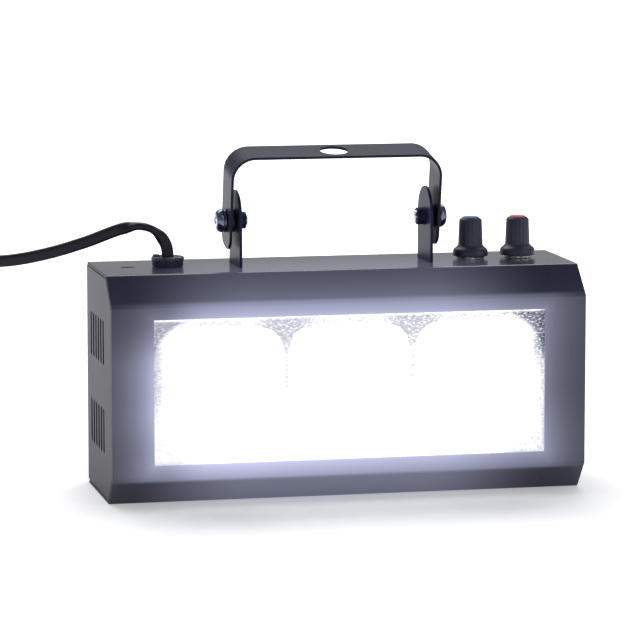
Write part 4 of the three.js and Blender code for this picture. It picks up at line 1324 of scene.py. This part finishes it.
def cross_screw(name, head, height, radius, shank, plain, pitch, recess):
    """A pan-head screw, its head standing on the origin and its shank, plain at first, below it.

    The recess is the length, width and depth of the cross's bars, in millimetres.
    """
    profile = [(head * across, height * up) for across, up in HEAD_SHARES]
    profile += [(radius, 0), (radius, -plain)]
    for i in range(int((shank - plain) / pitch)):
        at = -plain - pitch * i
        profile += [(radius * across, at - pitch * along) for across, along in THREAD_SHARES]
    profile += [(radius * SHANK_TIP_SHARE, -shank), (0, -shank)]
    screw = turned(name, profile, 40)
    long, wide, deep = (size * MM for size in recess)
    bar = block("recess", (-long / 2, -wide / 2, height - deep), (long / 2, wide / 2, height + deep))
    with Shaping(bar) as shape:
        shape.faces(lambda at, out: out.z < -ALONG)
        shape.widen(*RECESS_TAPER_SHARES, 1)
    carve(screw, fuse(bar, copied(bar, "recess_across", turn=(0, 0, math.pi / 2))))
    return break_edges(screw, 0.08 * MM, 1, 50)


class STROBE_OT_cover_screws(bpy.types.Operator):
    """The four screws of the rear sheet."""

    bl_idname = "strobe.cover_screws"
    bl_label = "Cover screws"

    def execute(self, context):
        low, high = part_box("cover_screw_1")
        under = COVER_HIGH.y + 0.3 * MM
        first = cross_screw(
            "rear_screw",
            head=2.8 * MM,
            height=high.y - under,
            radius=1.5 * MM,
            shank=under - low.y,
            plain=2 * MM,
            pitch=0.7 * MM,
            recess=(2.9, 0.75, 1),
        )
        place(first, (0, 0, 0), (-math.pi / 2, 0, math.radians(12)))
        finish = plated_steel("bright_plate", (0.7, 0.71, 0.73), 0.2)
        for i in range(1, 5):
            x, _, z = middle_of(f"cover_screw_{i}")
            piece = copied(first, f"rear_screw_{i}", (x, under, z))
            dress(piece, finish, "housing", "fastener_steel", f"cover_screw_{i}")
        bpy.data.objects.remove(first)
        return {"FINISHED"}


# The optics


FLANGE_THICKNESS = 0.8 * MM
CUP_SHEET = 0.5 * MM
CUP_RADIUS = 9 * MM
CUP_NARROWING = 24 * MM
CUP_POWER = 1.15
CUP_SHARES = (0.04, 0.2, 0.4, 0.6, 0.8, 1)
POST_HOLE = 2.3 * MM
DOME_PROFILE = (
    (0, 2.6), (3, 2.4), (5.5, 1.8), (7.3, 0.9), (7.8, 0.6),
    (8.2, 0.9), (8.8, 0.9), (9, 0.6), (9, -0.5), (0, -0.5),
)


class STROBE_OT_reflector(bpy.types.Operator):
    """The hammered mirror tray with its three cups."""

    bl_idname = "strobe.reflector"
    bl_label = "Mirror tray"

    def execute(self, context):
        low, high = TRAY_LOW, TRAY_HIGH
        middle = (low.z + high.z) / 2
        flange = block("mirror_tray", low, (high.x, low.y + FLANGE_THICKNESS, high.z))
        cup = self.cup(low.y + FLANGE_THICKNESS / 2, high.y, middle)
        mouths, cups = [], []
        for i in (-1, 0, 1):
            shift = (i * CUP_PITCH, 0, 0)
            mouth = self.rounded("mouth", low.y - PAST, middle)
            with Shaping(mouth) as shape:
                shape.all()
                shape.draw_out(0, 2 * PAST, 0)
                shape.tidy()
            mouths.append(place(mouth, shift))
            cups.append(copied(cup, "cup", shift))
        bpy.data.objects.remove(cup)
        mouths += rods_at("plate_post", POST_HOLE, low.y)
        carve(flange, *mouths)
        half = CUP_SIZE / 2 + NEAR

        def at_mouth(at, run):
            inside = abs(at.x) < CUP_PITCH + half and abs(at.z - middle) < half
            return at.y < low.y + NEAR and inside

        with Shaping(flange) as shape:
            shape.edges(at_mouth)
            shape.soften(0.35 * MM)
        joined(flange, *cups)
        dress(flange, hammered_mirror(), "housing", "reflector_foil", "reflector_tray")
        return {"FINISHED"}

    def rounded(self, name, y, middle):
        """A flat square of a cup's size, with round corners, that faces forwards."""
        piece = sheet(name, CUP_SIZE, CUP_SIZE, (0, y, middle), FORWARDS)
        with Shaping(piece) as shape:
            shape.all()
            shape.soften(CUP_RADIUS, 7, "VERTICES")
        return piece

    def cup(self, mouth, back, middle):
        """One cup, open at both ends, drawn in towards the back."""
        cup = self.rounded("cup", mouth, middle)
        size, reached = CUP_SIZE, 0
        with Shaping(cup) as shape:
            shape.all()
            for share in CUP_SHARES:
                shape.draw_out(0, (back - mouth) * (share - reached), 0)
                smaller = CUP_SIZE - CUP_NARROWING * share**CUP_POWER
                shape.widen(smaller / size, 1, smaller / size, (0, mouth, middle))
                size, reached = smaller, share
            shape.faces(lambda at, out: abs(out.y) > ALONG and abs(at.x) < 1 * MM)
            shape.remove()
        return thicken(cup, CUP_SHEET, 1)


class STROBE_OT_led_modules(bpy.types.Operator):
    """The three lit modules: a square base with a domed light in a ring."""

    bl_idname = "strobe.led_modules"
    bl_label = "LED modules"

    def execute(self, context):
        low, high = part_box("led_centre")
        face = low.y + 0.5 * MM
        base = block("led_module", (low.x, face, low.z), high)
        with Shaping(base) as shape:
            shape.edges(lambda at, run: abs(run.y) > ALONG)
            shape.soften(2 * MM, 4)
        break_edges(base, 0.2 * MM)
        dome = turned("dome", DOME_PROFILE, 40, MM)
        joined(base, place(dome, (0, face, (low.z + high.z) / 2), FORWARDS))
        finish = lit_module()
        for i, node in enumerate(("led_left", "led_centre", "led_right"), 1):
            piece = copied(base, f"led_{i}", (middle_of(node)[0], 0, 0))
            dress(piece, finish, "housing", "led_lens", node)
        bpy.data.objects.remove(base)
        return {"FINISHED"}


class STROBE_OT_inside(bpy.types.Operator):
    """Finishes of the window pane and of what is inside the housing."""

    bl_idname = "strobe.inside"
    bl_label = "Pane and inside"

    def execute(self, context):
        bright = plated_steel("bright_zinc", (0.68, 0.69, 0.71), 0.26)
        nylon = moulded("nylon", (0.7, 0.7, 0.64), 0.5)
        board = circuit_board()
        pot = zinc_painted_glints()
        turned_metal = plated_steel("turned_aluminium", (0.7, 0.71, 0.73), 0.28)
        finishes = {
            "window_pane": clear_sheet(),
            "led_plate": plated_steel("mill_aluminium", (0.72, 0.73, 0.75), 0.34, 500),
            "driver_board": board,
            "control_board": board,
            "driver_transformer": wound_core(),
            "driver_capacitor": striped_sleeve(),
            "driver_terminal": moulded("terminal_green", (0.03, 0.22, 0.08), 0.4),
            "supply_lead": cord_sheath("lead_black", (0.02, 0.02, 0.02)),
            "led_lead": cord_sheath("lead_red", (0.45, 0.03, 0.02)),
            "control_lead": cord_sheath("lead_blue", (0.03, 0.08, 0.35)),
        }
        for i in range(1, 5):
            fasteners = {f"plate_post_{i}": bright, f"plate_nut_{i}": bright}
            finishes |= {**fasteners, f"board_support_{i}": nylon}
        for dial in ("speed", "level"):
            finishes |= {f"{dial}_{part}": pot for part in ("pot", "nut", "washer")}
            finishes[f"{dial}_shaft"] = turned_metal
        for node, finish in finishes.items():
            coat(frame["nodes"][node], finish)
        return {"FINISHED"}


# The yoke and its pivots


COLLAR_PROFILE = (
    (2, 0), (3.4, 0), (3.6, 0.2), (3.6, 2.9), (3.9, 3.5), (3.9, 3.8), (2, 3.8), (2, 0)
)
COLLAR_DEPTH = 3.5 * MM


def on_pivots(x):
    """A place on the pivots' axis."""
    return x, PIVOT.y, PIVOT.z


class STROBE_OT_yoke(bpy.types.Operator):
    """The bent strip with its hanging hole."""

    bl_idname = "strobe.yoke"
    bl_label = "Yoke"

    def execute(self, context):
        s = context.scene.strobe_yoke
        low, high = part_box("yoke")
        width = high.x - low.x
        strap = sheet("yoke_strap", width, s.strip, (0, 0, s.reach))
        with Shaping(strap) as shape:
            for side in (-1, 1):
                shape.edges(lambda at, run: at.x * side > width / 2 - NEAR)
                shape.draw_out(0, 0, -s.reach - s.tail)
            shape.edges(lambda at, run: abs(run.y) > ALONG and at.z > s.reach - NEAR)
            shape.soften(s.corner, 14)
            shape.corners(lambda at: at.z < NEAR - s.tail)
            shape.soften(s.end_radius, 8, "VERTICES")
        thicken(strap, s.sheet)
        beside = width / 2 + PAST
        hanging = rod("hole", s.hole, (0, 0, s.reach - PAST), (0, 0, s.reach + PAST), 64)
        carve(strap, hanging, rod("hole", s.pivot_hole, (-beside, 0, 0), (beside, 0, 0)))
        break_edges(strap, 0.22 * MM)
        place(strap, PIVOT, (s.lean, 0, 0))
        finish = baked_paint("yoke_coat", context.scene.strobe_colours.yoke_paint, 0.38, IOR=1.2)
        dress(strap, finish, "yoke_arm", "yoke_paint", "yoke", flat=True)
        return {"FINISHED"}


class STROBE_OT_brackets(bpy.types.Operator):
    """The two round-topped uprights with their drawn collars."""

    bl_idname = "strobe.brackets"
    bl_label = "Brackets"

    def execute(self, context):
        s = context.scene.strobe_yoke
        low, high = BRACKET_LOW, BRACKET_HIGH
        half = (high.y - low.y) / 2
        top = PIVOT.z + s.crown + half
        fold = Vector((high.x, PIVOT.y, low.z))
        at = (high.x, PIVOT.y, (top + low.z) / 2)
        upright = sheet("bracket_upright_right", top - low.z, 2 * half, at, SIDEWAYS)
        with Shaping(upright) as shape:
            shape.corners(lambda at: at.z > top - NEAR)
            shape.soften(half * 0.999, 14, "VERTICES")
            shape.all()
            bpy.ops.mesh.remove_doubles(threshold=0.05 * MM)
            shape.edges(lambda at, run: at.z < low.z + NEAR)
            shape.draw_out(low.x - high.x, 0, 0)
            shape.edges(lambda at, run: abs(run.y) > ALONG and (at - fold).length < NEAR)
            shape.soften(1.6 * MM, 5)
        thicken(upright, s.sheet)
        inside = high.x - s.sheet
        rim = turned("collar", COLLAR_PROFILE, 40, MM)
        fuse(upright, place(rim, on_pivots(inside - COLLAR_DEPTH), SIDEWAYS))
        ends = on_pivots(inside - 6 * MM), on_pivots(high.x + 2 * MM)
        carve(upright, rod("hole", s.pivot_hole, *ends))
        break_edges(upright, 0.2 * MM)
        other = mirrored(upright, "bracket_upright_left")
        finish = baked_paint("bracket_coat", context.scene.strobe_colours.bracket_paint, 0.38, IOR=1.15)
        dress(upright, finish, "housing", "yoke_paint", "bracket_right", flat=True)
        dress(other, finish, "housing", "yoke_paint", "bracket_left", flat=True)
        return {"FINISHED"}


class STROBE_OT_pivots(bpy.types.Operator):
    """The pivot screws, their washers and the spacers between arms and brackets."""

    bl_idname = "strobe.pivots"
    bl_label = "Pivots"

    def execute(self, context):
        s = context.scene.strobe_yoke
        black = screw_wear_painted_glints()
        nylon = moulded("spacer_nylon", (0.022, 0.022, 0.03), 0.4)
        low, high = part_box("pivot_screw_right")
        under = high.x - s.head_height
        screw = cross_screw(
            "pivot_bolt",
            head=s.head,
            height=s.head_height,
            radius=2.5 * MM,
            shank=under - low.x,
            plain=5 * MM,
            pitch=0.8 * MM,
            recess=(5.6, 1.25, 1.9),
        )
        place(screw, (0, 0, 0), (0, 0, math.radians(28)))
        place(screw, on_pivots(under), SIDEWAYS)
        self.pair(screw, black, "pivot_steel", "pivot_bolt", "pivot_screw")
        washer = self.ring(s, "pivot_washer_right", 0.15 * MM)
        self.pair(washer, black, "pivot_steel", "pivot_shim", "pivot_washer")
        spacer = self.ring(s, "pivot_spacer_right", 0.3 * MM)
        self.pair(spacer, nylon, "spacer_plastic", "pivot_bush", "pivot_spacer")
        return {"FINISHED"}

    def ring(self, s, node, edge):
        """A ring with broken edges in the place of a node on the pivots' axis."""
        low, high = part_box(node)
        radius, hole, thickness = (high.z - low.z) / 2, s.pivot_hole, high.x - low.x
        profile = [(hole, 0), (radius, 0), (radius, thickness), (hole, thickness), (hole, 0)]
        return place(break_edges(turned("ring", profile, 40), edge), on_pivots(low.x), SIDEWAYS)

    def pair(self, piece, finish, slot, name, node):
        """The right-hand piece and its mirrored twin."""
        piece.name = f"{name}_right"
        twin = mirrored(piece, f"{name}_left")
        dress(piece, finish, "housing", slot, f"{node}_right")
        dress(twin, finish, "housing", slot, f"{node}_left")


# The controls and the strain relief


SKIRT_SHARES = (
    (0.01, 0.26), (0.04, 0.42), (0.12, 0.55), (0.26, 0.65),
    (0.44, 0.73), (0.7, 0.82), (0.88, 0.91), (1, 1),
)
KNOB_WELLS = ((6.3, 2.1), (3.8, 4), (3.1, 11))
CORNERS_A_FLUTE = 6
FLUTE_SIDE_SHARE = 0.3
HEAD_STEP_SHARES = (0.35, 0.96)
CAP_PLAY = 0.12 * MM
CAP_SEAT = 1.3 * MM
CAP_RIM_SHARES = ((1, 0.2), (0.95, 0.04), (0.75, 0))
POINTER_WIDTH = 0.64 * MM
POINTER_DEPTH = 0.35 * MM
POINTER_START = 0.6 * MM
POINTER_END_SHARE = 0.96


class STROBE_OT_knobs(bpy.types.Operator):
    """The two fluted knobs and their coloured caps."""

    bl_idname = "strobe.knobs"
    bl_label = "Knobs"

    def execute(self, context):
        s = context.scene.strobe_controls
        tints = context.scene.strobe_colours
        knob, cap = self.knob(s), self.cap(s)
        black = moulded("knob_black", tints.knob, 0.4)
        rows = (
            ("speed", "cap_blue", tints.blue_cap, 0.0),
            ("level", "cap_red", tints.red_cap, math.pi),
        )
        for dial, slot, tint, turn in rows:
            x, y, _ = middle_of(f"{dial}_knob")
            at = (x, y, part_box(f"{dial}_knob")[0].z)
            grip = copied(knob, f"{dial}_grip", at, (0, 0, turn))
            dress(grip, black, f"{dial}_dial", "knob_plastic", f"{dial}_knob", angle=28)
            at = (x, y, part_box(f"{dial}_cap")[0].z)
            button = copied(cap, f"{dial}_button", at, (0, 0, turn))
            finish = cap_plastic(f"{dial}_cap_plastic", tint, x, y, math.cos(turn))
            dress(button, finish, f"{dial}_dial", slot, f"{dial}_cap")
        bpy.data.objects.remove(knob)
        bpy.data.objects.remove(cap)
        return {"FINISHED"}

    def knob(self, s):
        """A skirt with a fluted grip on it, hollow below, with a seat for the cap above."""
        low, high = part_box("speed_knob")
        height = high.z - low.z
        foot = s.foot_radius
        profile = [(0, 0), (s.skirt_radius - 0.2 * MM, 0), (s.skirt_radius, 0.2 * MM)]
        for across, up in SKIRT_SHARES:
            profile.append((s.skirt_radius - (s.skirt_radius - foot) * across, s.skirt_height * up))
        skirt = turned("skirt", [*profile, (0, s.skirt_height)], 72)
        grip = rod("grip", foot, (0, 0, 1 * MM), (0, 0, height), CORNERS_A_FLUTE * s.flutes)

        def from_groove(at):
            """How many of the grip's corners a place is away from the middle of its groove."""
            turn = math.atan2(at.y, at.x) / (2 * math.pi) * s.flutes
            return abs(turn - round(turn)) * CORNERS_A_FLUTE

        rise, left = HEAD_STEP_SHARES
        with Shaping(grip) as shape:
            shape.corners(lambda at: from_groove(at) < 0.75)
            shape.narrow(1 - s.flute_depth / foot)
            shape.corners(lambda at: 0.75 < from_groove(at) < 1.5)
            shape.narrow(1 - FLUTE_SIDE_SHARE * s.flute_depth / foot)
            shape.faces(lambda at, out: out.z > ALONG)
            shape.narrow(s.head_radius / foot)
            shape.shift(0, 0, -s.chamfer)
            shape.draw_out(0, 0, s.chamfer * rise)
            shape.narrow(left)
            shape.draw_out(0, 0, s.chamfer * (1 - rise))
            shape.narrow((s.head_radius - s.chamfer) / s.head_radius / left)
        fuse(skirt, grip)
        for radius, end in KNOB_WELLS:
            carve(skirt, rod("well", radius * MM, (0, 0, -1 * MM), (0, 0, end * MM)))
        start, end = (0, 0, height - CAP_SEAT), (0, 0, height + 1 * MM)
        carve(skirt, rod("seat", s.cap_radius + CAP_PLAY, start, end, 48))
        return break_edges(skirt, 0.06 * MM, 1, 55)

    def cap(self, s):
        """A low button with the groove of its pointer."""
        low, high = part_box("speed_cap")
        height, radius, half = high.z - low.z, s.cap_radius, POINTER_WIDTH / 2
        rim = [(radius * across, height - drop * MM) for across, drop in CAP_RIM_SHARES]
        cap = turned("cap", [(0, 0), (radius, 0), *rim, (0, height)], 48)
        start = (POINTER_START, -half, height - POINTER_DEPTH)
        end = (radius * POINTER_END_SHARE, half, height + 1 * MM)
        return carve(cap, block("mark", start, end))


# The strain relief in millimetres, its collar as seen from the collar's outer top edge
RELIEF_NECK = 5.6
RELIEF_BARB = 6.3
RELIEF_BITE = 1.5
RELIEF_COLLAR = (
    (-0.4, -1.6), (-0.1, -1.55), (0, -1.4), (0, -0.6), (-0.25, -0.15), (-0.7, 0)
)
RELIEF_MOUTH = 4.6
RELIEF_HOLLOW = 0.5


class STROBE_OT_strain_relief(bpy.types.Operator):
    """The snap-in bushing that the cord leaves by."""

    bl_idname = "strobe.strain_relief"
    bl_label = "Strain relief"

    def execute(self, context):
        sheet_top = SHELL_HIGH.z
        top, tip = (RELIEF_HIGH.z - sheet_top) / MM, (RELIEF_LOW.z - sheet_top) / MM
        radius = (RELIEF_HIGH.x - RELIEF_LOW.x) / 2 / MM
        profile = [(0, tip), (RELIEF_NECK - 0.6, tip), (RELIEF_BARB, -RELIEF_BITE)]
        profile += [(RELIEF_NECK, -RELIEF_BITE), (RELIEF_NECK, 0.3), (radius - 0.4, 0.3)]
        profile += [(radius + wider, top + up) for wider, up in RELIEF_COLLAR]
        profile += [(RELIEF_MOUTH, top), (RELIEF_MOUTH - 0.3, top - RELIEF_HOLLOW)]
        bushing = turned("cord_bushing", [*profile, (0, top - RELIEF_HOLLOW)], 64, MM)

        def bar(name, one, other):
            return block(name, *([size * MM for size in corner] for corner in (one, other)))

        gaps = []
        for x in (-1, 1):
            for y in (-1, 1):
                gaps.append(bar("gap", (x * 1.9, y * 5.7, 0.1), (x * 2.5, y * 8, top + 1)))
        carve(bushing, *gaps)
        tab = bar("tab", (-6.2, -1.3, top - 1), (-3.4, 1.3, top + 0.9))
        with Shaping(tab) as shape:
            shape.edges(lambda at, run: abs(run.y) > ALONG and at.z > top * MM)
            shape.soften(0.5 * MM)
        fuse(bushing, tab)
        break_edges(bushing, 0.12 * MM, 2, 40)
        place(bushing, (middle_of("strain_relief")[0], PIVOT.y, sheet_top))
        finish = moulded("bushing_black", (0.045, 0.047, 0.095), 0.42)
        dress(bushing, finish, "housing", "relief_plastic", "strain_relief")
        return {"FINISHED"}


class STROBE_PT_pieces(bpy.types.Panel):
    """Every piece of the strobe light, with the sizes and colours that it takes."""

    bl_idname = "STROBE_PT_pieces"
    bl_label = "Strobe light"
    bl_space_type = "VIEW_3D"
    bl_region_type = "UI"
    bl_category = "Strobe light"

    def draw(self, context):
        for group, place_in_scene in GROUPS.items():
            box = self.layout.box()
            box.label(text=group.__doc__)
            for name in group.__annotations__:
                box.prop(getattr(context.scene, place_in_scene), name)
        for operator in OPERATORS:
            self.layout.operator(operator.bl_idname)


GROUPS = {
    StrobeHousing: "strobe_housing",
    StrobeYoke: "strobe_yoke",
    StrobeControls: "strobe_controls",
    StrobeCord: "strobe_cord",
    StrobePlug: "strobe_plug",
    StrobeColours: "strobe_colours",
}
OPERATORS = (
    STROBE_OT_stage,
    STROBE_OT_plug,
    STROBE_OT_cord,
    STROBE_OT_front_sheet,
    STROBE_OT_rear_sheet,
    STROBE_OT_cover_screws,
    STROBE_OT_reflector,
    STROBE_OT_led_modules,
    STROBE_OT_inside,
    STROBE_OT_yoke,
    STROBE_OT_brackets,
    STROBE_OT_pivots,
    STROBE_OT_knobs,
    STROBE_OT_strain_relief,
)


def register():
    for group, name in GROUPS.items():
        bpy.utils.register_class(group)
        setattr(bpy.types.Scene, name, PointerProperty(type=group))
    for operator in OPERATORS:
        bpy.utils.register_class(operator)
    bpy.utils.register_class(STROBE_PT_pieces)


def unregister():
    bpy.utils.unregister_class(STROBE_PT_pieces)
    for operator in reversed(OPERATORS):
        bpy.utils.unregister_class(operator)
    for group, name in reversed(GROUPS.items()):
        delattr(bpy.types.Scene, name)
        bpy.utils.unregister_class(group)


def main():
    register()
    for operator in OPERATORS:
        family, name = operator.bl_idname.split(".")
        getattr(getattr(bpy.ops, family), name)()


if __name__ == "__main__":
    main()
